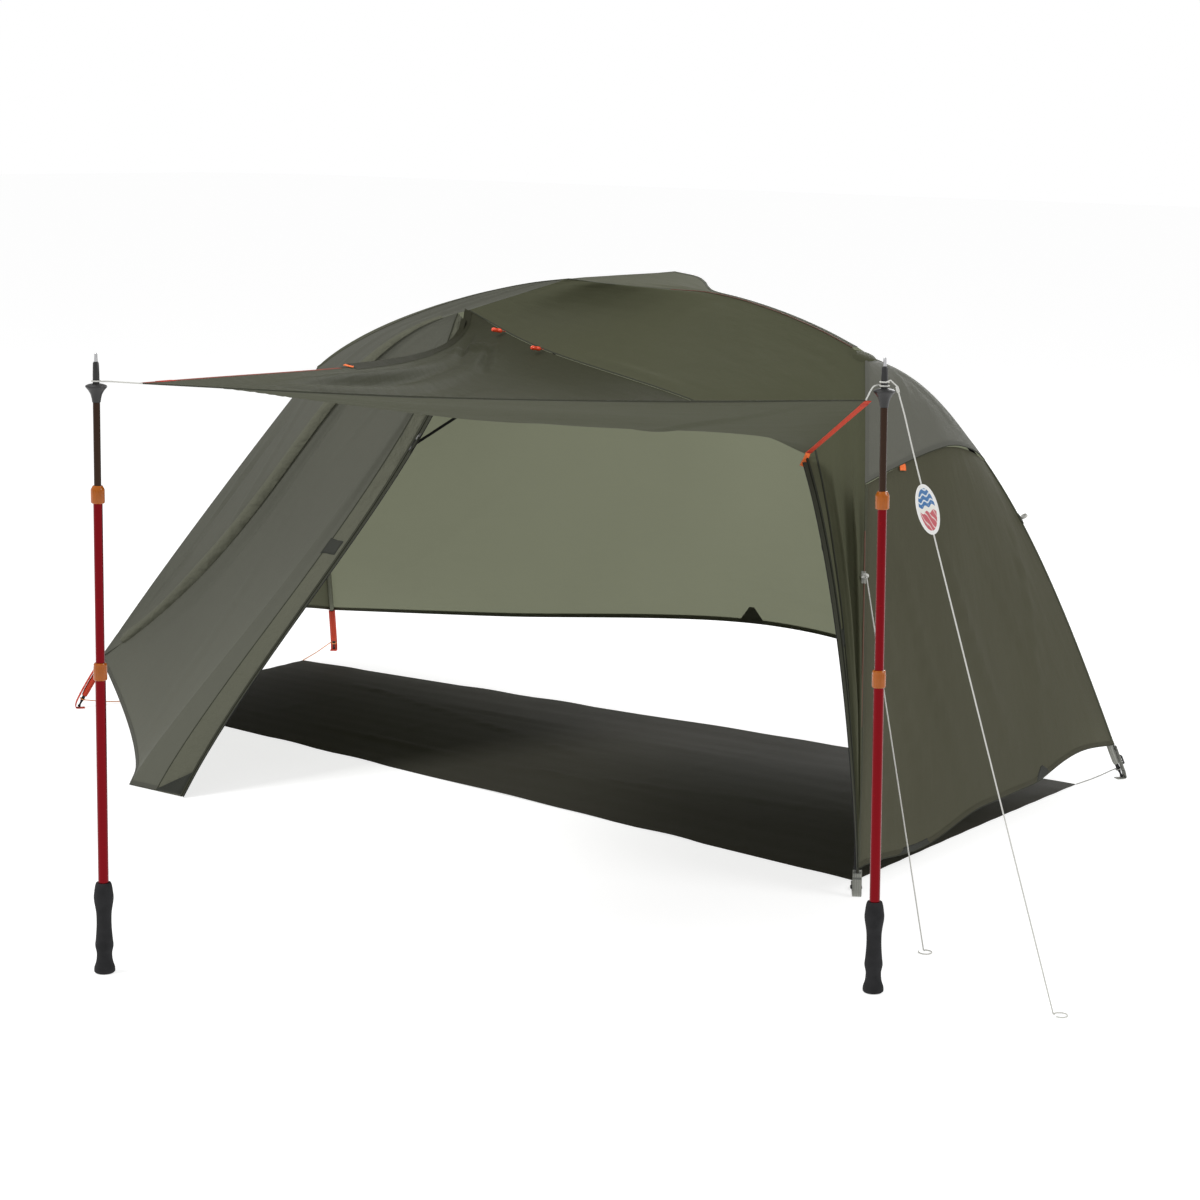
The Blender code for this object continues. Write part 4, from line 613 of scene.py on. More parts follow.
# A darker copy of the red webbing, for the strap under the awning's left edge: painted shade.
SHADED_RED_WEBBING = tape("dull_red_webbing", (0.22, 0.04, 0.022), stitch=(0.34, 0.09, 0.05))
ORANGE_TAB = tape("orange_tab", (0.85, 0.16, 0.035), stitch=(0.9, 0.35, 0.15))
GREY_WEBBING = tape("grey_webbing", (0.27, 0.275, 0.245), stitch=(0.5, 0.5, 0.46))
BINDING = tape("dark_binding", (0.021, 0.023, 0.014), rib=0.0009, stitch=(0.05, 0.055, 0.035))
SEAM_CLOTH = tape("seam_cloth", (0.046, 0.048, 0.028), rib=0.003, stitch=(0.08, 0.085, 0.055))
DARK_SEAM = tape("dark_seam", (0.032, 0.034, 0.021), rib=0.003, stitch=(0.05, 0.052, 0.034))
RED_TACK = tape("red_bar_tack", (0.5, 0.04, 0.02), rib=0.0006)
GREY_TACK = tape("grey_bar_tack", (0.16, 0.165, 0.15), rib=0.0006)
RED_ELASTIC = tape("red_elastic", (0.55, 0.05, 0.03), rib=0.0005)
BLACK_WEBBING = tape("black_webbing", (0.015, 0.015, 0.015), stitch=(0.05, 0.05, 0.05))
COIL = tape("zip_coil", (0.012, 0.012, 0.011), rib=0.0015, roughness=0.35)
PATCH = tape("dark_patch", (0.022, 0.024, 0.017), rib=0.0016, roughness=0.6)
RED_PIPING = tape("red_piping", (0.15, 0.035, 0.022), rib=0.0009)
BROWN_PIPING = tape("brown_piping", (0.135, 0.07, 0.048), rib=0.0009)
WHITE_CORD = braid("white_cord", (0.66, 0.66, 0.62))
ORANGE_CORD = braid("orange_cord", (0.8, 0.3, 0.09))
GREY_CORD = braid("grey_cord", (0.36, 0.36, 0.33))
BLACK_CORD = braid("black_cord", (0.02, 0.02, 0.02))
BLACK_PLASTIC = plastic("black_plastic", (0.014, 0.014, 0.014), 0.42)
PALE_PLASTIC = plastic("pale_plastic", (0.46, 0.46, 0.43), 0.4)
RED_PLASTIC = plastic("red_plastic", (0.78, 0.065, 0.018), 0.3, Coat_Weight=0.3)
AMBER = plastic("amber_plastic", (0.33, 0.082, 0.003), 0.22, 300.0, Coat_Weight=0.15, Specular_IOR_Level=0.3)
DARK_METAL = anodised("dark_anodised_tube", (0.02, 0.02, 0.021), 0.32)
RED_SHAFT = anodised("red_anodised_tube", (0.185, 0.002, 0.006))
GREY_SHAFT = anodised("grey_anodised_tube", (0.042, 0.023, 0.015), 0.28)
STEEL = plastic("steel_point", (0.56, 0.56, 0.57), 0.3, 700.0, Metallic=1.0)
SLIDER_METAL = plastic("slider_metal", (0.075, 0.075, 0.07), 0.4, 700.0, Metallic=0.8)


def foam(name, face):
    finish = Finish(name, Specular_IOR_Level=0.2)
    place = finish.space()
    cells = finish.noise(place, 1400.0, 3.0)
    hand = finish.noise(place, 55.0, 3.0)
    base = finish.mix(hand, shade(face, 0.7), shade(face, 1.6))
    return finish.show(Base_Color=base, Roughness=0.92 - hand * 0.12, Normal=finish.bump(cells, 0.45, 0.0008))


GRIP = foam("grip_foam", (0.016, 0.016, 0.017))
print(len(bpy.data.materials), "materials with those of the packed model")

# %% [markdown]
# ## Folds
#
# Stretched cloth wrinkles along the line of pull, in ridges with a shallow hollow on each side. A fold is
# drawn here as a line between two points of a panel, and lifts the cloth by the shape of such a ridge.
# All folds fade out at the panel's edges, so that neighbours still meet on their seam.

# %% Folds
CLOTH_LIFT = 0.0008


def flat_size(grid):
    down = np.linalg.norm(np.diff(grid, axis=0), axis=2).sum(axis=0).mean()
    over = np.linalg.norm(np.diff(grid, axis=1), axis=2).sum(axis=1).mean()
    return down, over


def shares(grid):
    """The share along and across a grid at each of its points."""
    return np.meshgrid(np.linspace(0, 1, grid.shape[0]), np.linspace(0, 1, grid.shape[1]), indexing="ij")


def faded_edges(grid, fade):
    """1 inside a panel, and down to 0 within a distance of its edges."""
    down, over = flat_size(grid)
    u, v = shares(grid)
    return np.clip(np.minimum(np.minimum(u, 1 - u) * down, np.minimum(v, 1 - v) * over) / fade, 0, 1)


def fold_field(grid, folds, fade=0.03):
    """Heights over a grid for folds of (start, stop, width, height), in shares along and across it."""
    down, over = flat_size(grid)
    u, v = shares(grid)
    field = np.zeros(u.shape)
    for (u0, v0), (u1, v1), width, height in folds:
        a, run = np.array([u0 * down, v0 * over]), np.array([(u1 - u0) * down, (v1 - v0) * over])
        size = np.linalg.norm(run)
        x, y = u * down - a[0], v * over - a[1]
        along = np.clip((x * run[0] + y * run[1]) / size**2, 0, 1)
        off = ((x * run[1] - y * run[0]) / size / width) ** 2
        field += height * np.sin(math.pi * along) ** 0.8 * (1 - 1.2 * off) * np.exp(-off)
    return field * faded_edges(grid, fade)


def ripple_field(grid, seed, scale, height, fade=0.05):
    """Soft seeded unevenness; scale is how many swells a metre holds each way."""
    down, over = flat_size(grid)
    u, v = shares(grid)
    swell = [noise.noise(Vector((x * scale[0] + seed, y * scale[1], seed * 1.7)))
             for x, y in zip((u * down).ravel(), (v * over).ravel())]
    return np.array(swell).reshape(u.shape) * faded_edges(grid, fade) * height


def draped(grid, outward, folds=(), ripple=None):
    """A panel's middle surface with its folds and ripples."""
    field = fold_field(grid, folds)
    if ripple:
        field = field + ripple_field(grid, *ripple)
    return grid + grid_normals(grid, outward) * (field + CLOTH_LIFT)[..., None]


def area(grid):
    a, b, c, d = grid[:-1, :-1], grid[1:, :-1], grid[1:, 1:], grid[:-1, 1:]
    return float((np.linalg.norm(np.cross(b - a, c - a), axis=2)
                  + np.linalg.norm(np.cross(c - a, d - a), axis=2)).sum() / 2)


# %% A panel of cloth
class Panel:
    """One cut panel of cloth, made into a mesh of its own."""

    def __init__(self, name, grid, outward, finish, slot, flat, folds=None, ripple=None, held="stretched",
                 rests_on=()):
        if folds is not None:
            grid = draped(grid, outward, folds, ripple)
        self.grid, self.normals, self.finish, self.slot = grid, grid_normals(grid, outward), finish, slot
        self.outward = outward
        made = Shape().grid(grid).make(name + "_cloth", finish, slot=slot, replaces=[name], sharp=80,
                                       outward=outward)
        min(area(grid), flat[0] * flat[1])
        print(name, grid.shape[:2], "of", [round(x, 2) for x in flat_size(grid)], "area",
              round(area(grid), 3))

    def edge(self, which, start=0, stop=None):
        """The places on an edge, with the way into the panel and the way out of its face at each."""
        grid, normals = self.grid, self.normals
        line, inner, normal = {"low": (grid[:, 0], grid[:, 2], normals[:, 1]),
                               "high": (grid[:, -1], grid[:, -3], normals[:, -2]),
                               "start": (grid[0], grid[2], normals[1]),
                               "stop": (grid[-1], grid[-3], normals[-2])}[which]
        part = slice(start, stop)
        return line[part], [unit(v) for v in (inner - line)[part]], normal[part]


# %% [markdown]
# ## The frame of poles
#
# The frame is thin black aluminium tube on elastic cord. Sections are joined by ferrules, which show as
# slightly thicker stretches. The pole's middle line lies a few millimetres inside the cover's crease, as
# the cloth is stretched over the tube. A line, a list of radii and a tube function are all it takes.

# %% Where the poles run
POLE_RADIUS, FERRULE_RADIUS, HUB_SEAT = 0.00435, 0.0056, 0.0229
UNDER_CREASE, UNDER_RIDGE, BALL_HEIGHT = 0.0105, 0.00855, 0.0035


def square_away(route, share, outwards):
    return square_to(outwards, route.direction(share))


def hub_centre(end):
    return (HEAD_HUB if end > 0 else FOOT_HUB) - vec(end * 0.004, 0, 0.0115)


def leg_heading(end, side):
    """The level direction in which a leg runs out from its hub."""
    stake = LEG_SHAPES[end][0]
    return unit(vec(end * (stake[0] - HUB_REACH), side * stake[1]))


def frame_leg(end, side):
    route = LEGS[end, side]
    line = [route.at(s) - square_away(route, s, vec(end, side, 0.3)) * UNDER_CREASE
            for s in np.linspace(0.04, 0.95, 21)]
    foot = route.at(1.0) - leg_heading(end, side) * 0.011
    foot[2] = BALL_HEIGHT
    return smooth_route([hub_centre(end)] + line[1:] + [foot])


def frame_ridge():
    """The ridge pole, a little lower where the brow pole crosses over it."""
    line = [RIDGE.at(s) - square_away(RIDGE, s, UP) * UNDER_RIDGE for s in np.linspace(0, 1, 61)]
    level = float(np.interp(BROW_X, [p[0] for p in line], [p[2] for p in line]))
    swivel_height, brow_seat = 0.0163, 1.1085
    dip = level + POLE_RADIUS + swivel_height - brow_seat
    for p in line:
        nearness = max(0.0, 1.0 - abs(p[0] - BROW_X) / 0.4)
        p[2] -= dip * nearness**2 * (3 - 2 * nearness)
    middle = Route(line).part(0.03, 0.97, 24)
    return smooth_route([hub_centre(-1)] + middle + [hub_centre(1)])


FRAME_RIDGE = frame_ridge()
FRAME_LEGS = {key: frame_leg(*key) for key in LEGS}
print("legs", {corner_name(*key): round(leg.length, 3) for key, leg in FRAME_LEGS.items()}, "m")


# %% Frame poles
def frame_pole(name, route, start, stop, joints, tip=()):
    """A frame pole between two reaches along its route, with ferrules and perhaps a ball tip."""
    stations = [(start, 0.0), (start, POLE_RADIUS)]
    ferrule = ((0.0385, POLE_RADIUS), (0.0375, 0.0054), (0.036, FERRULE_RADIUS))
    for joint in joints:
        stations += [(joint - reach, radius) for reach, radius in ferrule]
        stations += [(joint + reach, radius) for reach, radius in ferrule[::-1]]
    stations += [(stop, POLE_RADIUS), *tip]
    full = []
    for (a, radius_a), (b, radius_b) in zip(stations, stations[1:]):
        pieces = max(1, math.ceil((b - a) / 0.03))
        full += [(a + (b - a) * k / pieces, radius_a + (radius_b - radius_a) * k / pieces)
                 for k in range(pieces)]
    full += [stations[-1], (stations[-1][0], 0.0)]
    points = [route.at(reach / route.length) for reach, _ in full]
    for i in (0, -1):
        step = 1 if i == 0 else -1
        points[i] = points[i + step] - unit(points[i + 2 * step] - points[i + step]) * 1e-5
    rings = tube(points, [r for _, r in full], 14)
    Shape().loop(rings).make(name + "_tube", DARK_METAL, slot="pole_black", replaces=[name])


length = FRAME_RIDGE.length
frame_pole("ridge_pole", FRAME_RIDGE, HUB_SEAT, length - HUB_SEAT, [length * k / 4 for k in (1, 2, 3)])
for (end, side), route in FRAME_LEGS.items():
    length = route.length
    ball = [(length - 0.012, 0.0024), (length - 0.006, 0.0024), (length - 0.0048, 0.0034),
            (length - 0.0035, 0.0038), (length - 0.0012, 0.0037), (length - 0.0003, 0.0028)]
    frame_pole("leg_" + corner_name(end, side), route, HUB_SEAT, length - 0.02, [length / 2], ball)
half, below_tip, sag = 0.198, 0.00515, 0.016
brow = [vec(BROW_X, half * (2 * share - 1), BROW_TOP - below_tip - sag * share * (1 - share))
        for share in np.linspace(0, 1, 25)]
caps = [brow[0] + vec(0, 1e-5)] + brow + [brow[-1] - vec(0, 1e-5)]
radii = [0, 0.0036] + [POLE_RADIUS] * 23 + [0.0036, 0]
Shape().loop(tube(caps, radii, 14)).make("brow_pole_tube", DARK_METAL, slot="pole_black",
                                         replaces=["brow_pole"])
for name in ("foot_hub", "head_hub", "brow_swivel"):
    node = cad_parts[name]
    node.data.materials.clear()
    node.data.materials.append(BLACK_PLASTIC)
print("ridge pole", round(FRAME_RIDGE.length, 3), "m")


# %% [markdown]
# ## Cords
#
# A guyline is a taut braided cord. It is wound once round the walking pole's tip, passes over the basket and
# runs straight to the ground, where it ends in a tied loop. A cord here is a tube round a list of points, and
# its length is printed.

# %% Walking poles as lines
POLES = {"left": (vec(0.389, -1.813), vec(0.004, 0.003), 1.076),
         "right": (vec(1.483, -1.052), vec(-0.016, -0.012), 1.094)}
CORNER_BELOW = {"left": (0.051, vec(0.046, 0.062)), "right": (0.069, vec(-0.018, -0.031))}
GRIP_CAP, BASKET_REACH, TIP_WINDING, GUY_CORD = 0.0182, 0.0182, 0.0075, 0.0013
TIE_CORD, TIE_WINDING, ON_GROUND, LOOP_RADIUS = 0.0012, 0.00615, 0.0016, 0.012
RING_HEIGHT, RING_GAP = {-1: 0.578, 1: 0.616}, 0.0101


def pole_axis(side):
    base, lean, height = POLES[side]
    foot = base + vec(0, 0, GRIP_CAP * math.hypot(lean[0], lean[1]) / height)
    tip = base + lean + vec(0, 0, height)
    return foot, unit(tip - foot), np.linalg.norm(tip - foot)


def awning_corner(side):
    foot, axis, _ = pole_axis(side)
    below, offset = CORNER_BELOW[side]
    return foot + axis * (POLES[side][2] - below) / axis[2] + offset


# %% Cords
def cord(name, points, radius, finish, slot, node):
    line = dense(points, 2)
    for p in line:
        p[2] = max(p[2], radius + 0.0002)
    made = Shape().rod(tube(line, radius, 10)).make(name, finish, slot=slot, replaces=[node], sharp=60)
    print(name, round(Route(line).length, 3), "m long")


def wound(centre, axis, radius, towards):
    """Points of a cord laid round an axis, leaving on the side that faces a direction."""
    a = square_to(towards, axis)
    turns = [math.radians(-300.0 + 300.0 * k / 9) - math.pi / 2 for k in range(10)]
    return around(centre, a, np.cross(axis, a), radius, turns)


def tied_loop(ground, heading):
    side = np.cross(UP, heading)
    turns = [math.radians(200 - 370 * k / 10 * 0.86) for k in range(11)]
    return [ground + heading * LOOP_RADIUS * (1 + math.cos(t)) + side * LOOP_RADIUS * math.sin(t)
            for t in turns]


def clip_place(side):
    """The middle of a guyline ring on a head leg's seam, the way out and the way along."""
    route = LEGS[1, side]
    share = route.share_at_height(RING_HEIGHT[side])
    away = square_away(route, share, vec(1, side, 0.3))
    return route.at(share) + away * RING_GAP, away, route.direction(share)


foot, axis, reach = pole_axis("right")
ring_middle = foot + axis * (reach - 0.04)
ground = vec(1.78, -0.96, ON_GROUND)
level = unit((ground - ring_middle) * vec(1, 1, 0))
turns = wound(ring_middle, axis, TIP_WINDING, level)
over = turns[-1] + level * (BASKET_REACH + 0.004) - vec(0, 0, 0.005)
POLE_LINE = turns + [turns[-1] + level * 0.004] + straight(over, ground, 10)
cord("pole_guyline", POLE_LINE + tied_loop(ground, level)[1:], GUY_CORD, WHITE_CORD, "cord_white",
     "guyline_pole")
middle, away, _ = clip_place(-1)
ground = vec(1.44, -0.8, ON_GROUND)
start = middle + away * RING_GAP
level = unit((ground - start) * vec(1, 1, 0))
cord("side_guyline", straight(start, ground, 8) + tied_loop(ground, level)[1:], GUY_CORD, WHITE_CORD,
     "cord_white", "guyline_side")

# %% Corner and awning ties
for side in ("left", "right"):
    foot, axis, reach = pole_axis(side)
    middle = foot + axis * (reach - 0.0465)
    towards = awning_corner(side) - middle
    turns = wound(middle, axis, TIP_WINDING, unit(towards))
    level = unit(towards * vec(1, 1, 0))
    over = middle + level * (BASKET_REACH + 0.003) - vec(0, 0, 0.001)
    gap = 0.0008 + GUY_CORD * 0.4 * abs(unit(awning_corner(side) - over)[2])
    rest = [turns[-1] + level * 0.005, over, awning_corner(side) - level * gap - vec(0, 0, 0.0008)]
    cord(f"awning_tie_{side}", turns + smooth_route(rest, 6).part(0, 1, 5), GUY_CORD, WHITE_CORD,
         "cord_white", f"awning_cord_{side}")
for end, side, finish, slot in ((-1, -1, ORANGE_CORD, "cord_orange"), (-1, 1, ORANGE_CORD, "cord_orange"),
                                (1, 1, GREY_CORD, "webbing_grey")):
    route, corner = FRAME_LEGS[end, side], floor_corner(end, side)
    share = 1.0 - 0.022 / route.length
    middle = route.at(share)
    towards = unit(corner - middle)
    turns = wound(middle, -route.direction(share), TIE_WINDING, towards)
    start = corner + unit((middle - corner) * vec(1, 1, 0)) * 0.0008 + vec(0, 0, 0.0014)
    near = turns[-1] + towards * 0.012
    half = (start + near) / 2 - vec(0, 0, 0.002)
    half[2] = max(half[2], 0.0014)
    name = corner_name(end, side)
    cord(f"corner_tie_{name}", smooth_route([start, half, near], 8).part(0, 1, 8) + turns[::-1], TIE_CORD,
         finish, slot, f"corner_cord_{name}")


# %% [markdown]
# ## The cover's panels
#
# Each panel is cut on its own and sewn to its neighbours, so each is its own mesh here. Its four edges are
# seam lines, and the surface between them comes from blending the edges (a Coons patch). The stations are
# those of the CAD's panels, so the cloth lies where its solid does. Extra points are added between them
# for the folds.

# %% Panel lines
def refine(line, corners=(), times=FINE):
    """A line with more stations, which stays sharp at its corners."""
    stops = [0, *corners, len(line) - 1]
    fine = []
    for a, b in zip(stops, stops[1:]):
        fine += dense(line[a:b + 1], times)[:-1]
    return fine + [np.array(line[-1])]


def between(a, b, steps):
    return refine([a, b], times=steps)


def shoulder(side):
    """The stations of a shoulder seam: from the foot hub over the brow's tip and along the ridge."""
    tip, mirror = BROW[side], vec(1, side, 1)
    foot = bezier_route(FOOT_HUB, FOOT_HUB + vec(0.16, 0.02, 0.115) * mirror,
                        tip - vec(0.34, 0.06, 0.035) * mirror, tip)
    ridge = [RIDGE.at(RIDGE.share_at_x(x)) + vec(0, side * 0.01) for x in np.linspace(0.415, 0.8, 25)]
    drop = bezier_route(tip, tip + vec(0.12, 0.005, -0.008) * mirror,
                        ridge[0] + vec(-0.09, 0.05, 0.004) * mirror, ridge[0], 25)
    head = Route([*drop.samples, *ridge[1:]])
    return foot.part(HUB_TRIM / foot.length, 1.0, 9), head.part(0.0, 1.0 - HUB_TRIM / head.length, 9)


def leg_stations(end, side):
    route = LEGS[end, side]
    return route.part(HUB_TRIM / route.length, route.share_at_height(CORNER_LIFT[end, side]), 12)


def whole_shoulder(side):
    foot, head = shoulder(side)
    return refine(foot + head[1:], (9,))


print("shoulder seam", round(Route(whole_shoulder(1)).length, 3), "m")


# %% Roof and rear wall
rows = []
for front, rear in zip(whole_shoulder(-1), whole_shoulder(1)):
    x = (front[0] + rear[0]) / 2
    middle = RIDGE.at(RIDGE.share_at_x(x))
    middle[2] += max(0.0, (1.118 - middle[2]) * max(0.0, 1.0 - abs(x - BROW_X) / 0.2))
    rows.append(between(front, middle, 10)[:-1] + between(middle, rear, 10))
roof = np.array(rows)
roof_folds = [((0.58, 0.3), (0.96, 0.06), 0.012, 0.004), ((0.6, 0.1), (0.86, 0.16), 0.01, 0.003),
              ((0.1, 0.14), (0.48, 0.07), 0.012, 0.003), ((0.62, 0.42), (0.92, 0.3), 0.014, 0.003)]
width = np.linalg.norm(roof[:, -1] - roof[:, 0], axis=1)
loose_share = np.clip((width - 0.05) / 0.1, 0, 1)[:, None, None]
loose = draped(roof, UP, roof_folds, (3.0, (3.0, 9.0), 0.0035))
ROOF = Panel("fly_roof", draped(roof, UP) * (1 - loose_share) + loose * loose_share, UP, OLIVE, "fly_olive",
             (0.44, 1.66), rests_on=["ridge_pole", "brow_pole"])

top = whole_shoulder(1)
rear_hem = smooth_route([cover_corner(-1, 1), (-0.55, 0.445, 0.178), (0.26, 0.455, 0.262),
                         (0.75, 0.49, 0.205), cover_corner(1, 1)])
low = refine(rear_hem.part(0, 1, 18))
start = refine([top[0]] + leg_stations(-1, 1), (1,))
stop = refine([top[-1]] + leg_stations(1, 1), (1,))
grid = coons(start, stop, top, low)
u, v = shares(grid)
grid[:, :, 1] += 0.012 * 16 * u * (1 - u) * v * (1 - v)
rear_folds = [((0.92, 0.98), (0.62, 0.62), 0.016, 0.006), ((0.95, 0.93), (0.74, 0.45), 0.014, 0.005),
              ((0.9, 0.99), (0.5, 0.86), 0.014, 0.005), ((0.06, 0.94), (0.3, 0.55), 0.014, 0.004),
              ((0.52, 0.03), (0.6, 0.55), 0.016, 0.004), ((0.56, 0.04), (0.78, 0.5), 0.014, 0.003)]
REAR_PANEL = Panel("fly_rear", grid, (0, 1, 0.3), REAR, "fly_olive", (1.28, 2.32), rear_folds,
                   (7.0, (2.5, 3.5), 0.005))

# %% Foot end
front, rear = (refine(leg_stations(-1, side)) for side in (-1, 1))
rows = []
for i, (a, b) in enumerate(zip(front, rear)):
    share = i / (len(front) - 1)
    row = []
    for k in range(33):
        bulge = 4 * k / 32 * (1 - k / 32)
        row.append(a + (b - a) * k / 32 + vec(-0.012 * math.sin(math.pi * share) * bulge, 0,
                                              0.05 * share**6 * bulge))
    rows.append(row)
foot_folds = [((0.2, 0.4), (0.95, 0.1), 0.014, 0.004), ((0.2, 0.6), (0.95, 0.9), 0.014, 0.004)]
FOOT_END = Panel("fly_foot_end", np.array(rows), (-1, 0, 0.3), OLIVE, "fly_olive", (0.86, 0.92), foot_folds,
                 (11.0, (3.0, 4.0), 0.004))


# %% The hood
HOOD_HEIGHT = 0.75


def hood_edge(share, inset=0.0):
    """The hood's lower edge over the head end, from the front leg to the rear leg."""
    front, rear = (LEGS[1, side].at_height(HOOD_HEIGHT) for side in (-1, 1))
    point = front + (rear - front) * share
    rise = 1.0 - abs(2 * share - 1) ** 1.6
    return point + vec((1.01 - front[0] - inset) * rise, 0, 0.059 * rise)


stations = np.linspace(0, 1, 41)
front, rear = (LEGS[1, side] for side in (-1, 1))
edge_share, trim = front.share_at_height(HOOD_HEIGHT), HUB_TRIM / front.length
a, b = front.part(trim, edge_share, 32), rear.part(trim, edge_share, 32)
hood = coons(between(a[0], b[0], 40), [hood_edge(s) for s in stations], a, b)
swell = np.sin(math.pi * np.linspace(0, 1, 33))[:, None] * (4 * stations * (1 - stations))[None, :]
hood += swell[..., None] * vec(0.6, 0, 0.8) * 0.018
hood_folds = [((0.1, 0.5), (0.95, 0.25), 0.012, 0.003), ((0.1, 0.5), (0.95, 0.72), 0.012, 0.003)]
HOOD_PANEL = Panel("fly_head_hood", hood, (1, 0, 1), HOOD_SHEEN_CLOTH, "fly_light", (0.34, 0.32), hood_folds,
                   (5.0, (5.0, 6.0), 0.003))


# %% The head wall
def head_hem(share, front, rear):
    point = front + (rear - front) * share
    point[2] += (0.07 - point[2]) * math.sin(math.pi * share)
    point[2] -= 0.028 * math.sin(math.pi * min(1.0, share * 2.2)) ** 2
    point[2] += 0.026 * math.sin(math.pi * max(0.0, (share - 0.66) / 0.34)) ** 1.2
    return point


top_share = edge_share + 0.0025 / front.length
a = front.part(top_share, front.share_at_height(0.052), 60)
b = rear.part(top_share, rear.share_at_height(0.082), 60)
start = [hood_edge(s, 0.0088) - vec(0, 0, 0.004) for s in stations]
start[0], start[-1] = a[0], b[0]
wall = coons(start, [head_hem(s, a[-1], b[-1]) for s in stations], a, b)
wall_folds = [((0.05, 0.1), (0.97, 0.42), 0.014, 0.006), ((0.05, 0.3), (0.96, 0.62), 0.016, 0.006),
              ((0.3, 0.05), (0.98, 0.3), 0.012, 0.005), ((0.05, 0.9), (0.96, 0.7), 0.014, 0.005),
              ((0.55, 0.03), (0.98, 0.16), 0.01, 0.004), ((0.2, 0.55), (0.9, 0.85), 0.014, 0.004)]
HEAD_WALL = Panel("fly_head_wall", wall, (1, 0, 0.2), WALL, "fly_olive", (1.2, 0.86), wall_folds,
                  (13.0, (3.0, 5.0), 0.006))

# %% Front left panel
foot_run, head_run = shoulder(-1)


def clipped(line, cut):
    return [line[0] + unit(line[1] - line[0]) * cut] + line[1:-1]


top = clipped(foot_run[::-1] + leg_stations(-1, -1), 0.02)
low = clipped(between(BROW[-1], DOOR_TOP.at(0), 6) + CREASE.part(0, 1, 16)[1:], 0.02)
top, low = refine(top, (9, 10)), refine(low, (6,))
grid = coons(between(top[0], low[0], 28), between(top[-1], low[-1], 28), top, low)
left_folds = [((0.02, 0.5), (0.62, 0.9), 0.014, 0.005), ((0.05, 0.25), (0.55, 0.55), 0.016, 0.004),
              ((0.45, 0.05), (0.97, 0.45), 0.014, 0.004), ((0.4, 0.12), (0.8, 0.88), 0.012, 0.004),
              ((0.36, 0.86), (0.985, 0.85), 0.016, 0.009), ((0.48, 0.22), (0.96, 0.34), 0.01, -0.007)]
FRONT_LEFT = Panel("fly_front_left", grid, (-0.3, -1, 1), LIT_LEFT_CLOTH, "fly_light", (0.42, 1.66), left_folds,
                   (17.0, (3.0, 5.0), 0.005))

# %% The vestibule
crease, zipper = (refine(route.part(0.02, 1.0, 18)) for route in (CREASE, LEFT_ZIP))
corner, stake = CREASE.at(1.0), vec(-0.507, -0.908, 0.0016)
sweep = bezier_route(corner, corner + vec(0.1, -0.05, -0.05), stake + vec(-0.1, 0.16, 0), stake)
hem = sweep.part(0, 1, 7) + [stake + (LEFT_ZIP.at(1) - stake) * k / 2 for k in (1, 2)]
grid = coons(between(crease[0], zipper[0], 9 * FINE), refine(hem, (7,)), crease, zipper)
vestibule_folds = [((0.05, 0.09), (0.92, 0.08), 0.02, -0.01), ((0.1, 0.8), (0.95, 0.78), 0.012, 0.003),
                   ((0.4, 0.2), (0.98, 0.55), 0.016, 0.003), ((0.03, 0.5), (0.45, 0.3), 0.014, 0.003)]
VESTIBULE = Panel("fly_vestibule", grid, (0.4, -1, 0.6), LIT_LEFT_CLOTH, "fly_light", (0.6, 1.3), vestibule_folds,
                  (19.0, (2.0, 3.0), 0.005))

# %% Front right panel
top = refine(head_run + leg_stations(1, -1), (9, 10))
low = refine(DOOR_TOP.part(0, 1, 11) + RIGHT_ZIP.part(0, 1, 11)[1:], (11,))
grid = coons(between(BROW[-1], DOOR_TOP.at(0), 48), between(top[-1], low[-1], 48), top, low)
u, v = shares(grid)
# Pleats run along the half beside the zip, where the two seams pull the cloth lengthwise.
strength = np.clip((u - 0.5) / 0.15, 0, 1) * np.clip((1 - u) / 0.08, 0, 1)
pleats = 0.008 * strength * np.sin(5 * math.pi * v) * np.sin(math.pi * v)
normals = np.cross(np.gradient(grid, axis=0), np.gradient(grid, axis=1))
grid += normals / np.linalg.norm(normals, axis=2, keepdims=True) * pleats[..., None]
# The cloth beside the brow's tip is filled out, so that it doesn't hang over.
bay = np.sin(math.pi * np.clip((u - 0.005) / 0.2, 0, 1)) ** 0.8 * (v / 0.3) * np.exp(1 - v / 0.3) * (1 - v)
grid += bay[..., None] * 0.03 * unit(vec(0.15, -0.55, 0.82))
right_folds = [((0.215, 0.04), (0.3, 0.52), 0.009, 0.003), ((0.235, 0.05), (0.325, 0.6), 0.008, -0.0025),
               ((0.265, 0.05), (0.335, 0.45), 0.009, 0.0025), ((0.385, 0.08), (0.405, 0.3), 0.008, 0.003),
               ((0.405, 0.06), (0.43, 0.34), 0.008, -0.003), ((0.18, 0.93), (0.33, 0.92), 0.01, 0.006),
               ((0.55, 0.3), (0.97, 0.35), 0.01, 0.004), ((0.55, 0.7), (0.97, 0.62), 0.01, 0.004)]
FRONT_RIGHT = Panel("fly_front_right", grid, (0.3, -1, 0.8), OLIVE, "fly_olive", (0.42, 1.86), right_folds,
                    (23.0, (4.0, 5.0), 0.005))


# %% [markdown]
# ## The awning
#
# The lifted door hangs by its two far corners, and the slack cloth makes a belly near the hinge. Pleats
# fan out from the left corner, where the pull is strongest.

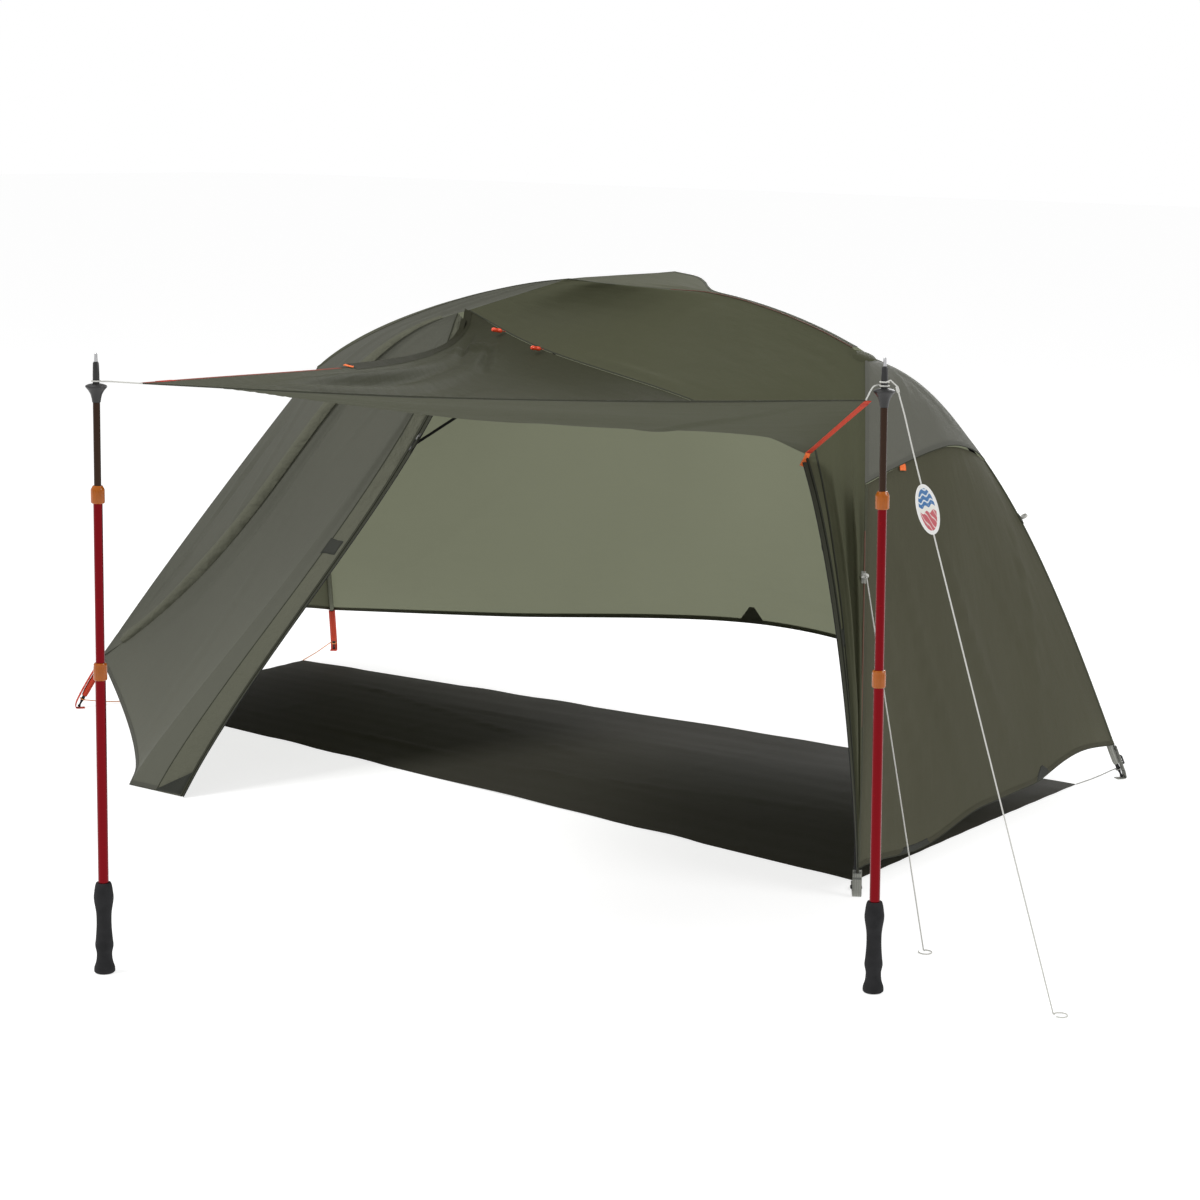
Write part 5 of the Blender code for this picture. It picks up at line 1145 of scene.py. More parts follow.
# %% The awning
def awning_point(u, v):
    """A point of the awning; u runs along the hinge and v away from it."""
    left, right = awning_corner("left"), awning_corner("right")
    top = DOOR_TOP.at(u)
    inside = min(1.0, u / 0.15)
    across = 0.075 + 0.005 * inside
    if u > 0.4:
        across *= 1.0 - ((u - 0.4) / 0.6) ** 2
    slack = 0.43 + 0.42 * inside
    sag = across * math.sin(math.pi * v**slack) + 0.012 * v * math.sin(math.pi * u)
    return top + (left + (right - left) * u - top) * v - vec(0, 0, sag)


def awning_pleat(u, v):
    turn = math.atan2(u * 1.1, 1.0 - v + 1e-6) / (math.pi / 2)
    reach = min(1.0, math.hypot(u, 1.0 - v))
    swell = math.sin(math.pi * min(1.0, reach * 1.05)) ** 0.8
    fan = 0.008 * swell * math.sin(8 * math.pi * turn) * (1.0 - turn) ** 0.5
    return fan * min(1.0, 12 * u) * min(1.0, 12 * (1.0 - u))


grid = np.array([[awning_point(u, v) + vec(0, 0, awning_pleat(u, v)) for u in np.linspace(0, 1, 141)]
                 for v in np.linspace(0, 1, 111)])
awning_folds = [((0.98, 0.04), (0.62, 0.5), 0.018, 0.006), ((0.95, 0.95), (0.45, 0.6), 0.018, 0.005),
                ((0.06, 0.62), (0.45, 0.7), 0.014, 0.004)]
for reach, end, height in ((0.22, 0.04, 0.011), (0.1, 0.078, -0.01), (0.08, 0.125, 0.012),
                           (0.16, 0.175, -0.01), (0.26, 0.235, 0.009)):
    awning_folds.append(((0.985, 0.012), (reach, end), 0.023, height))
for start, stop, height in (((0.03, 0.04), (0.17, 0.1), 0.01), ((0.12, 0.03), (0.05, 0.16), -0.011),
                            ((0.04, 0.13), (0.19, 0.19), 0.009)):
    awning_folds.append((start, stop, 0.02, height))
AWNING_PANEL = Panel("awning", grid, (0, 0, -1), SHADED_AWNING_CLOTH, "fly_olive", (1.62, 1.6), awning_folds,
                     (29.0, (2.5, 4.0), 0.004), held="hung", rests_on=["fly_front_right_cloth"])

# %% [markdown]
# ## The groundsheet
#
# It lies flat and loose, with sharp creases from being folded and rolled, and low waves along its edges.
# Only upward moves are allowed, because the ground is right below.

# %% The groundsheet
columns, rows = 113, 45
u, v = np.meshgrid(np.arange(columns) / (columns - 1), np.arange(rows) / (rows - 1), indexing="ij")
bay = 0.004 * np.sin(math.pi * v) * ((u == 0) * 1.0 - (u == 1))
grid = np.stack([-1.12 + 2.24 * u + bay, (v - 0.5) * (0.66 + 0.315 * u), np.full(u.shape, 0.0008)], axis=2)
grid += FLOOR_SHIFT
creases = [((0.02, 0.2), (0.98, 0.28), 0.012, 0.003), ((0.05, 0.85), (0.6, 0.42), 0.012, 0.0035),
           ((0.4, 0.15), (0.97, 0.5), 0.012, 0.003), ((0.1, 0.75), (0.9, 0.68), 0.012, 0.003)]
creases += [((k / 6 - 0.02, 0.04), (k / 6 + 0.02, 0.96), 0.012, 0.0016) for k in range(1, 6)]
height = np.maximum(fold_field(grid, creases, 0.02), 0)
height += np.maximum(ripple_field(grid, 31.0, (1.5, 4.0), 0.006, 0.02), 0) * 0.5
height += np.abs(np.sin(np.arange(rows) * 0.8)) * 0.001
from_end, from_side = (np.minimum(np.arange(n), n - 1 - np.arange(n)) for n in (columns, rows))
edge_waves = np.array([max(0.0, noise.noise(Vector((i * 0.11, 3.3, 0)))) for i in range(columns)]) * 0.007
height += (edge_waves * np.clip(from_end / 8, 0, 1))[:, None] * np.maximum(0.0, 1 - from_side / 4)
grid[:, :, 2] += height
Panel("groundsheet", grid, UP, FLOOR_CLOTH, "groundsheet_black", (0.97, 2.24), held="laid")


# %% [markdown]
# ## Seams, bindings and tapes
#
# A sewer folds a narrow binding round every free edge, and joins two panels with a seam that is folded
# flat and stitched twice. Both are profiles carried along a panel's edge. The edge gives three things at
# each point: its place, the direction into the panel and the direction out of its face.

# %% Seam profiles
def folded(width, thick):
    """A binding folded round an edge: the width that it covers on each face."""
    return [(width, thick * 0.8), (width * 0.5, thick), (0, thick), (-0.001, thick * 0.6), (-0.0013, 0),
            (-0.001, -thick * 0.6), (0, -thick), (width * 0.5, -thick), (width, -thick * 0.8)]


def flat_band(inner, outer, thick):
    """A flat band on the cloth, between two distances from an edge."""
    return [(inner, -0.0004), (inner, thick * 0.8), (inner + 0.0006, thick), (outer - 0.0006, thick),
            (outer, thick * 0.8), (outer, -0.0004)]


def seam(name, panel_edge, profile, finish, slot):
    Shape().grid(strip(*panel_edge, profile)).make(name, finish, slot=slot)


# %% Seams and hems
for name, panel, which in (("shoulder_front", ROOF, "low"), ("shoulder_rear", ROOF, "high"),
                           ("leg_foot_front", FOOT_END, "low"), ("leg_foot_rear", FOOT_END, "high"),
                           ("hood_front", HOOD_PANEL, "low"), ("hood_rear", HOOD_PANEL, "high"),
                           ("wall_front", HEAD_WALL, "low"), ("wall_rear", HEAD_WALL, "high")):
    over_edge = -0.0024 if panel is ROOF else 0.0002
    seam("seam_" + name, panel.edge(which), flat_band(over_edge, 0.009, 0.0006),
         HOOD_SHEEN_CLOTH if panel is HOOD_PANEL else SEAM_CLOTH, panel.slot)
for name, panel, which, line_width in (("rear", REAR_PANEL, "high", 0.0014),
                                       ("foot_end", FOOT_END, "stop", 0.0012),
                                       ("head_wall", HEAD_WALL, "stop", 0.001),
                                       ("hood", HOOD_PANEL, "stop", 0.0006),
                                       ("vestibule", VESTIBULE, "stop", 0.0006),
                                       ("awning_front", AWNING_PANEL, "stop", 0.0022)):
    seam("hem_" + name, panel.edge(which), folded(0.01, 0.0008), panel.finish, panel.slot)
    seam("hem_line_" + name, panel.edge(which), folded(line_width, 0.0012), DARK_SEAM, "binding_black")

# %% The rolled crease
line, inward, normal = FRONT_LEFT.edge("high", 34)
crease_roll = [(0.058, -0.0004), (0.046, 0.003), (0.032, 0.01), (0.018, 0.017), (0.006, 0.0196),
               (-0.004, 0.0176), (-0.011, 0.0116), (-0.015, 0.004), (-0.016, -0.0012)]
swell = [min(1.0, 0.25 + 3.5 * k / len(line), 0.45 + 2.0 * (1 - k / len(line))) for k in range(len(line))]
rows = [[p + (a * u + n * v) * w for u, v in crease_roll] for p, a, n, w in zip(line, inward, normal, swell)]
# The roll is in the lighter flap cloth: painted light on its lit side.
Shape().grid(np.array(rows)).make("crease_roll", LIT_FLAP_CLOTH, slot="fly_light", sharp=70)
tip = FRONT_LEFT.grid[-1, ::4] + vec(0, -0.0006, 0.0006)
point = LEFT_CORNER + vec(0.004, -0.002, 0.006)
narrow = point + (tip - tip.mean(axis=0)) * 0.12
rows = [tip + (narrow - tip) * k / 4 for k in range(5)]
Shape().grid(np.array(rows)).make("front_left_tip", LIT_LEFT_CLOTH, slot="fly_light")

# %% Pipings and short hems
# The door's top seam is a dark tape: a real seam, made dark as painted shade under the awning's hinge.
seam("seam_door_top", FRONT_RIGHT.edge("high", 0, 56), flat_band(0.0002, 0.004, 0.0005), DARK_SEAM,
     "fly_olive")
seam("hem_awning_left", AWNING_PANEL.edge("low", 0, 48),
     [(0.012, -0.001), (0, -0.0022), (-0.0135, -0.0022), (-0.0145, 0.0002), (-0.0135, 0.003), (0, 0.003),
      (0.006, 0.0014)], SHADED_AWNING_CLOTH, "fly_olive")
seam("piping_head_shoulder", ROOF.edge("low", 60),
     [(-0.0008, -0.0002), (-0.001, 0.0008), (0.0, 0.0014), (0.001, 0.0008), (0.0008, -0.0002)],
     RED_PIPING, "webbing_red")
seam("piping_leg_front", HEAD_WALL.edge("low", 8, 40),
     [(-0.001, 0.0002), (-0.0008, 0.0016), (0.001, 0.0019), (0.0026, 0.0016), (0.0028, 0.0002)],
     BROWN_PIPING, "fly_olive")


# %% Zips
TAPE_WIDTH, TAPE_BACK, TAPE_FRONT = 0.01, 0.0003, 0.0013


def zip_tape(side, line, inner, panel):
    """A zip's tape with its coil of teeth along the outer edge; inner is the other side of the flap."""
    away = [unit(b - a) for a, b in zip(inner, line)]
    along = tangents(line)
    away = [square_to(a, t) for a, t in zip(away, along)]
    normal = [unit(np.cross(t, a)) for a, t in zip(away, along)]
    normal = [facing(n, vec(*panel.outward)) for n in normal]
    tape_profile = [(0.0, TAPE_BACK), (0.0, TAPE_FRONT), (TAPE_WIDTH, TAPE_FRONT), (TAPE_WIDTH, TAPE_BACK)]
    shape = Shape().loop(strip(line, away, normal, tape_profile), 0)
    coil_profile = [(0.0098 + 0.0014 * (1 - math.cos(t)) / 2 * 1.3, 0.0008 + 0.0011 * math.sin(t))
                    for t in np.linspace(0, 2 * math.pi, 9)[:-1]]
    shape.loop(strip(line, away, normal, coil_profile), 1)
    shape.make(side + "_zip_tape", [DARK_SEAM, COIL], slot="binding_black", replaces=["zip_" + side])


zip_tape("left", zipper, crease, VESTIBULE)
zip_tape("right", refine(RIGHT_ZIP.part(0.03, 1.0, 12)), refine(leg_stations(1, -1)), FRONT_RIGHT)
vestibule_zip = VESTIBULE.edge("high")
rows = []
for i, (p, a, n) in enumerate(zip(*vestibule_zip)):
    share = i / (len(vestibule_zip[0]) - 1)
    width = 0.026 + 0.05 * share**1.3
    crumple = [0.0012 + 0.0022 * abs(noise.noise(Vector((share * 26.0, k * 0.9, 4.0)))) for k in range(1, 7)]
    flap = [(0.001, 0.0002), *((width * k / 7, h) for k, h in enumerate(crumple, 1)), (width, 0.0016),
            (width + 0.0004, 0.0002)]
    rows.append([p + a * across + n * up for across, up in flap])
# The storm flap is in the lighter flap cloth too: painted light.
Shape().grid(np.array(rows)).make("storm_flap_left", LIT_FLAP_CLOTH, slot="fly_light")
# A dark line just past the flap's outer edge: its edge binding, and painted shade where the flap stands off
# the panel.
seam("flap_line_left", ([row[-2] for row in rows], *vestibule_zip[1:]),
     [(-0.0006, -0.001), (-0.0006, 0.0006), (0.0022, 0.0004), (0.0026, -0.0014)], DARK_SEAM, "binding_black")
seam("binding_left_zip", vestibule_zip, folded(0.0048, 0.0026), DARK_SEAM, "binding_black")
line, inward, normal = FRONT_RIGHT.edge("high", 56)
seam("binding_right_zip", (line, inward, normal), folded(0.0055, 0.0022), BINDING, "binding_black")
spread = [0.034 - 0.026 * (i / (len(line) - 1)) ** 0.7 for i in range(len(line))]
second = [p + a * s for p, a, s in zip(line, inward, spread)]
seam("second_line_right", (second, inward, normal), flat_band(-0.002, 0.003, 0.0012), BINDING,
     "binding_black")


# %% [markdown]
# ## Webbing
#
# Webbing is a woven strap about a millimetre and a half thick. It hangs in a curve under each side edge of
# the awning, and ties each corner of the cover to its pole's foot. Bar tacks, the short dense stitches
# across a strap, hold its folded ends.

# %% Webbing
STRAP, SIDE_STRAP_WIDTH, CORNER_STRAP_WIDTH = 0.0016, 0.011, 0.018


def ribbon(points, across, width, thick):
    """Rings of a flat strap along a line; across is its way across, or one such way for each point."""
    rings = []
    for i, (p, along) in enumerate(zip(points, tangents(points))):
        wide = square_to(across[i] if isinstance(across, list) else across, along) * width / 2
        up = unit(np.cross(along, wide)) * thick / 2
        rings.append([p + wide * s + up * h for s, h in ((1, 0.5), (0.9, 1), (-0.9, 1), (-1, 0.5), (-1, -0.5),
                                                        (-0.9, -1), (0.9, -1), (1, -0.5))])
    rings = np.array(rings)
    rings[..., 2] = np.maximum(rings[..., 2], 0.0)
    return rings


# %% Awning webbing
def awning_side(u, beyond):
    """Stations under a side edge of the awning, and the way out from it."""
    line = Route([awning_point(u, i / 56) for i in range(57)])
    inset = 0.012 / line.length
    return line.part(2 * inset, 1 - inset, 56), [square_to(beyond, line.direction(k / 56)) for k in range(57)]


across = unit(awning_corner("right") - awning_corner("left"))
for side, u, beyond in (("left", 0.0, -across), ("right", 1.0, across)):
    points, away = awning_side(u, beyond)
    middle = [p + a * 0.0064 + vec(0, 0, -0.0008) for p, a in zip(points, away)]
    covered = 26 if side == "left" else 0
    shape = Shape().rod(ribbon(middle[covered:], away[covered:], SIDE_STRAP_WIDTH, STRAP))
    if covered:
        under_hem = ribbon(middle[:covered + 1], away[:covered + 1], SIDE_STRAP_WIDTH, STRAP)
        shape.rod(under_hem, 2)
    for place in (0.02, 0.97):
        k = int(place * 55)
        pad = ribbon([middle[k - 1], middle[k], middle[k + 1]], away[k - 1:k + 2], 0.0115, 0.0026)
        shape.rod(pad, 2 if k < covered else 1)
    # The left strap gets the darker copy of the webbing, as painted shade.
    webbing = SHADED_RED_WEBBING if side == "left" else RED_WEBBING
    shape.make(f"awning_webbing_{side}_strap", [webbing, RED_TACK, SHADED_AWNING_CLOTH], slot="webbing_red",
               replaces=[f"awning_webbing_{side}"])


# %% Corner straps
def corner_strap(end, side):
    """The strap's middle line, from the cover's corner down to the tab under the pole's foot."""
    route, heading = LEGS[end, side], leg_heading(end, side)
    lift = CORNER_LIFT[end, side]
    top = route.share_at_height(lift) + 0.0024 / route.length
    points = route.part(top, route.share_at_height(0.016), 5)
    stake = route.at(1.0)
    inward = stake - heading * 0.004
    points.append(vec(inward[0], inward[1], 0.002))
    tab = 0.022 if (end, side) != (1, -1) else np.linalg.norm(stake - floor_corner(end, side)) - 0.0045
    points += [vec(*(inward - heading * tab * k)[:2], 0.0008) for k in (0.4, 1.0)]
    line = smooth_route(points, 6).part(0, 1, 14)
    for p in line:
        p[2] = max(p[2], 0.0008)
    return refine(line, times=3), np.cross(heading, UP)


for end, side in LEGS:
    line, wide = corner_strap(end, side)
    name = corner_name(end, side)
    webbing, tack = (RED_WEBBING, RED_TACK) if end < 0 else (GREY_WEBBING, GREY_TACK)
    shape = Shape().rod(ribbon(line, wide, CORNER_STRAP_WIDTH, STRAP))
    for k in (1, 4, 26):
        tack_line = [line[k] + (line[k + 1] - line[k]) * s for s in (0, 0.5, 1)]
        shape.rod(ribbon(tack_line, wide, 0.0165, 0.0028), 1)
    shape.make(f"corner_webbing_{name}", [webbing, tack], slot="webbing_red" if end < 0 else "webbing_grey",
               replaces=[f"corner_strap_{name}"])

# %% Sleeves and the inner strap
for (end, side), high, low, radius, finish, slot in (
        ((-1, -1), 0.128, 0.032, 0.0078, RED_WEBBING, "webbing_red"),
        ((-1, 1), 0.128, 0.032, 0.0078, RED_WEBBING, "webbing_red"),
        ((1, 1), 0.086, 0.036, 0.007, GREY_WEBBING, "webbing_grey"),
        ((-1, 1), 0.34, 0.129, 0.0062, SLEEVE, "fly_olive"),
        ((-1, -1), 0.19, 0.129, 0.0074, LIT_LEFT_CLOTH, "fly_light")):
    route = FRAME_LEGS[end, side]
    run = route.part(route.share_at_height(high), route.share_at_height(low), 8)
    radii = [radius - 0.001] + [radius] * 7 + [radius - 0.001]
    Shape().loop(tube(run, radii, 14)).make(
        f"leg_sleeve_{corner_name(end, side)}_{round(high * 1000)}", finish, slot=slot)

low = FRAME_LEGS[-1, 1].at_height(0.459)
high = BROW[1] - vec(0, 0.0145, 0.0145)
run = unit(high - low)
start, stop = low + run * 0.00865, high - run * 0.0085
Shape().rod(ribbon(straight(start, stop, 24), UP, 0.007, 0.0015)).make(
    "inner_strap_webbing", BLACK_WEBBING, slot="hub_black", replaces=["inner_strap"])


# %% Buckles
def rounded_loop(centre, a, b, half_a, half_b, corner, steps=6):
    points = []
    for sa, sb, first in ((1, 1, 0), (-1, 1, 90), (-1, -1, 180), (1, -1, 270)):
        for k in range(steps + 1):
            t = math.radians(first + 90 * k / steps)
            points.append(centre + a * (sa * (half_a - corner) + corner * math.cos(t))
                          + b * (sb * (half_b - corner) + corner * math.sin(t)))
    return points


def ring_frame(points, normal, wide, thick):
    """A closed moulded frame: a rounded section carried round a loop."""
    rings = []
    for i, p in enumerate(points):
        out = np.cross(unit(points[(i + 1) % len(points)] - points[i - 1]), normal)
        rings.append([p + out * wide * math.cos(t) + normal * thick * math.sin(t) for t in full_turn(12)])
    return np.array(rings + rings[:1])


def buckle(name, node, centre, a, b, normal):
    outline = rounded_loop(centre, a, b, 0.0098, 0.0098, 0.003)
    shape = Shape().loop(ring_frame(outline, normal, 0.0021, 0.0019))
    for offset in (-0.0032, 0.0032):
        bar = straight(centre + a * offset - b * 0.0095, centre + a * offset + b * 0.0095, 8)
        shape.rod(tube(bar, [0.0013] * 9, 10) + normal * 0.0003)
    shape.make(name, BLACK_PLASTIC, slot="hub_black", replaces=[node])


heading = leg_heading(1, -1)
centre = LEGS[1, -1].at(1.0) - heading * 0.06
centre[2] = 0.0039
buckle("strap_buckle_front", "corner_buckle_front", centre, heading, np.cross(heading, UP), UP)
route = LEGS[1, 1]
share = route.share_at_height(0.045)
along, heading = route.direction(share), leg_heading(1, 1)
wide = np.cross(heading, UP)
away = facing(unit(np.cross(wide, along)), heading)
buckle("strap_buckle_rear", "corner_buckle_rear", route.at(share) + away * 0.0032, along, wide, away)

# %% Guyline rings
for side, name in ((-1, "front"), (1, "rear")):
    centre, away, along = clip_place(side)
    ring_profile = [(0.00675 + 0.00175 * math.cos(t), 0.003 * math.sin(t))
                    for t in np.linspace(0, 2 * math.pi, 17)]
    shape = Shape().loop(turned(ring_profile, centre, along, 32))
    shape.make(f"guy_ring_{name}", PALE_PLASTIC, slot="clip_grey", replaces=[f"guy_clip_{name}"])
    foot = centre - away * 0.0088
    loop = [foot + along * s * 0.013 + away * h for s, h in ((-1, 0.0), (-0.5, 0.0006), (0, 0.001),
                                                           (0.5, 0.0006), (1, 0.0))]
    Shape().rod(ribbon(refine(loop), np.cross(along, away), 0.01, 0.0012)).make(
        f"ring_patch_{name}", GREY_WEBBING, slot="webbing_grey")


# %% [markdown]
# ## Small fittings
#
# The sliders, the tag and the toggles move, so each rides on its own body. A slider has two thin plates
# with a bridge over them and a pull. The toggle is a smooth barrel on a loop of thin elastic.

# %% Where the sliders sit
def seat(route, share, away, face):
    along = route.direction(share)
    away = square_to(away, along)
    normal = facing(unit(np.cross(along, away)), TO_DOOR)
    lift = 0.0016 + 0.00292 if face > 0 else -0.00292
    return route.at(share) + away * 0.0069 + normal * lift, away, normal


def zip_seats(side):
    """Where a slider starts and ends on its tape, with the way across and out at its start."""
    if side == "left":
        route, shares, face, first, steps = LEFT_ZIP, (0.24, 0.45), 1, 0.02, 18
        near = CREASE.part(first, 1.0, steps)
    else:
        route, shares, face, first, steps = RIGHT_ZIP, (0.22, 0.42), -1, 0.03, 12
        near = leg_stations(1, -1)
    line = route.part(first, 1.0, steps)
    seats = []
    for share in shares:
        k = round((share - first) / (1 - first) * steps)
        seats.append(seat(route, share, unit(line[k] - near[k]), face))
    return seats, face


# %% The sliders
def rounded_box(shape, centre, axes, half, bevel, finish=0):
    """A block with bevelled edges, as a stack of rounded outlines."""
    a, b, c = axes
    levels = ((-1, 1), (-1 + bevel / half[2], 0), (1 - bevel / half[2], 0), (1, 1))
    rings = [rounded_loop(centre + c * height * half[2], a, b, half[0] - bevel * shrink,
                          half[1] - bevel * shrink, bevel * 1.6, 3) for height, shrink in levels]
    shape.rod(np.array(rings), finish)


for side in ("left", "right"):
    seats, face = zip_seats(side)
    centre, away, normal = seats[0]
    along = unit(seats[1][0] - centre)
    away = square_to(away, along)
    out = facing(np.cross(along, away), normal * face)
    axes = (along, away, out)
    shape = Shape()
    rounded_box(shape, centre - out * 0.0012, axes, (0.005, 0.0035, 0.0007), 0.0004)
    rounded_box(shape, centre + out * 0.0008, axes, (0.003, 0.0011, 0.0011), 0.0004)
    pull = [centre + out * 0.0014 + along * (0.002 + 0.011 * k / 4) - out * 0.0002 * k for k in range(5)]
    shape.rod(ribbon(pull, away, 0.0042, 0.0011))
    cord_pull = [pull[-1] + along * 0.02 * k / 6 for k in range(7)]
    shape.rod(tube(cord_pull, [0.0011] * 7, 8), 1)
    rounded_box(shape, cord_pull[-1] + along * 0.004, axes, (0.0065, 0.0022, 0.0013), 0.0006, finish=2)
    shape.make(f"{side}_slider_with_pull", [SLIDER_METAL, BLACK_CORD, BLACK_PLASTIC], body=f"{side}_slider",
               slot="slider_metal", replaces=[f"zip_slider_{side}"])

# %% Toggles
for side, share in (("left", 0.15), ("right", 0.285)):
    along = DOOR_TOP.direction(share)
    out = facing(unit(np.cross(along, UP)), TO_DOOR)
    base = DOOR_TOP.at(share) + vec(0, 0, 0.0019) + out * 0.0022
    axis = unit(out + vec(0, 0, 0.16))
    barrel = [(0, 0.012), (0.0026, 0.012), (0.0037, 0.0126), (0.0045, 0.0142), (0.0048, 0.0166),
              (0.0048, 0.021), (0.0044, 0.0224), (0.0042, 0.0236), (0.0042, 0.0264), (0.0044, 0.0276),
              (0.0048, 0.029), (0.0048, 0.0338), (0.0045, 0.0358), (0.0037, 0.0374), (0.0024, 0.038),
              (0, 0.038)]
    shape = Shape().loop(turned(barrel, base, axis, 28))
    a, b = axis_frame(axis)
    for s in (-1, 1):
        strand = [base + axis * h + a * s * w for h, w in ((0.0004, 0.0004), (0.004, 0.0009), (0.008, 0.0009),
                                                           (0.0125, 0.0004))]
        shape.rod(tube(dense(strand, 3), 0.0006, 8), 1)
    shape.make(f"{side}_door_toggle", [RED_PLASTIC, RED_ELASTIC], body=f"{side}_toggle", slot="toggle_red",
               replaces=[f"door_toggle_{side}"])

# %% The tag
run = unit(POLE_LINE[-1] - POLE_LINE[-5])
side = unit(np.cross(run, vec(0.58, -0.79, 0.0)))
normal = np.cross(side, run)
tag_middle = POLE_LINE[-11] + run * 0.21 + normal * 0.0025


def oval(a, b, level):
    return [tag_middle + run * a * math.cos(t) + side * b * math.sin(t) + normal * level
            for t in full_turn(64)]


disc = ((1e-6, 1e-6, -0.0008), (0.04, 0.015, -0.0008), (0.0422, 0.0172, -0.0007),
        (0.043, 0.018, -0.0002), (0.043, 0.018, 0.0003), (0.0422, 0.0172, 0.0008),
        (0.04, 0.015, 0.0008), (0.0392, 0.0142, 0.0006), (1e-6, 1e-6, 0.0006))
shape = Shape().loop(np.array([oval(*ring) for ring in disc]))

# %% The tag's pattern
tag_print = Finish("printed_tag", Coat_Weight=0.5, Coat_Roughness=0.08)
place = tag_print.space()


def tag_reach(direction):
    """How far a place lies from the tag's middle along a direction."""
    from_middle = tag_print.node("VectorMath", {"operation": "SUBTRACT"}, {0: place, 1: tuple(tag_middle)})
    return tag_print.node("VectorMath", {"operation": "DOT_PRODUCT"}, {0: from_middle, 1: tuple(direction)},
                          "Value")


along_tag, over_tag = tag_reach(run), tag_reach(side)
along_share, over_share = along_tag * (1 / 0.0395), over_tag * (1 / 0.0145)
inside = along_share * along_share + over_share * over_share < 0.84
swell = along_tag + tag_print.wave(over_tag, 0.011) * 0.0045
blue = tag_print.mix(tag_print.band(swell + 1.0, 0.0105, 0.3), (0.035, 0.15, 0.36), (0.6, 0.66, 0.7))
rose = tag_print.mix(tag_print.band(over_tag + swell * 0.4 + 1.0, 0.007, 0.18), (0.5, 0.1, 0.12),
                     (0.7, 0.58, 0.55))
field = tag_print.mix(swell > 0.006, tag_print.mix(swell > -0.003, blue, (0.74, 0.73, 0.68)), rose)
scuffs = tag_print.noise(place, 260.0, 4.0)
printed = tag_print.mix(inside, (0.76, 0.76, 0.74), field)
shape.make("guyline_tag_disc", tag_print.show(
    Base_Color=tag_print.mix((scuffs > 0.62) * 0.25, printed, (0.5, 0.5, 0.5)),
    Roughness=scuffs * 0.2 + 0.25, Normal=tag_print.bump(scuffs, 0.08, 0.0003)), body="tag",
    slot="tag_white", replaces=["guyline_tag"])


# %% [markdown]
# ## The walking poles
#
# Each pole stands upside down on its grip. Its three tubes slide into one another and are held by two
# amber twist collars. Every section is turned from a profile of radius and height, and rides on the body
# that moves it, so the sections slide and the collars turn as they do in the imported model.

# %% Grip and collar
def tube_profile(outer, inner, low, high):
    soft = 0.0003
    return [(outer, low + soft), (outer, (low + high) / 2), (outer, high - soft), (outer - soft, high),
            (inner, high), (inner, low), (outer - soft, low), (outer, low + soft)]


GRIP_LENGTH, GRIP_RADIUS = 0.162, 0.017
GRIP_SHAPE = ((0.136, 0.84), (0.222, 0.79), (0.302, 0.93), (0.383, 0.86), (0.494, 0.78), (0.586, 0.76),
              (0.679, 0.8), (0.821, 1), (0.907, 0.94))


def grip_profile():
    """A soft grip: a flared cap on the ground, a rib for the fingers and a bulge at the palm."""
    stations = [vec(GRIP_CAP * 0.985, 0.01)]
    stations += [vec(GRIP_RADIUS * width, GRIP_LENGTH * height) for height, width in GRIP_SHAPE]
    stations += [vec(GRIP_RADIUS * 0.86, GRIP_LENGTH * 0.965)]
    swell = [(p[0], p[1]) for p in dense(stations, 5)]
    return [(0, 0), (0.0125, 0), (0.016, 0.0006), (GRIP_CAP * 0.99, 0.0026), (GRIP_CAP, 0.005)] + swell + [
        (GRIP_RADIUS * 0.79, GRIP_LENGTH - 0.0018), (GRIP_RADIUS * 0.74, GRIP_LENGTH),
        (0.0094, GRIP_LENGTH), (0.0094, 0.03), (0, 0.03)]


def collar_rings(shaft, low, foot, axis):
    """A twist collar with shallow grip flutes round it."""
    a, b = axis_frame(axis)
    rings = []
    for radius, height, depth in ((shaft + 0.0004, 0.0, 0), (0.0104, 0.0, 0), (0.0113, 0.0008, 0.2),
                                  (0.0118, 0.0025, 1), (0.0118, 0.012, 1), (0.0118, 0.0225, 1),
                                  (0.0113, 0.0242, 0.3), (shaft + 0.0036, 0.0272, 0),
                                  (shaft + 0.0022, 0.0298, 0), (shaft + 0.0018, 0.03, 0),
                                  (shaft + 0.0004, 0.03, 0), (shaft + 0.0004, 0.0, 0)):
        rings.append([])
        for t in full_turn(60):
            r = radius - depth * 0.0005 * (0.5 + 0.5 * math.cos(15 * t))
            rings[-1] += around(foot + axis * (low + height), a, b, r, [t])
    return np.array(rings)


# %% Walking poles, put together
TIP_TO_UPPER_LOCK, TIP_TO_LOWER_LOCK, TIP_TO_BASKET, BASKET_HEIGHT = 0.556, 0.252, 0.051, 0.031
UPPER_TUBE, MIDDLE_TUBE, LOWER_TUBE, TUBE_WALL, PUSHED_IN = 0.009, 0.0078, 0.006, 0.0007, 0.18


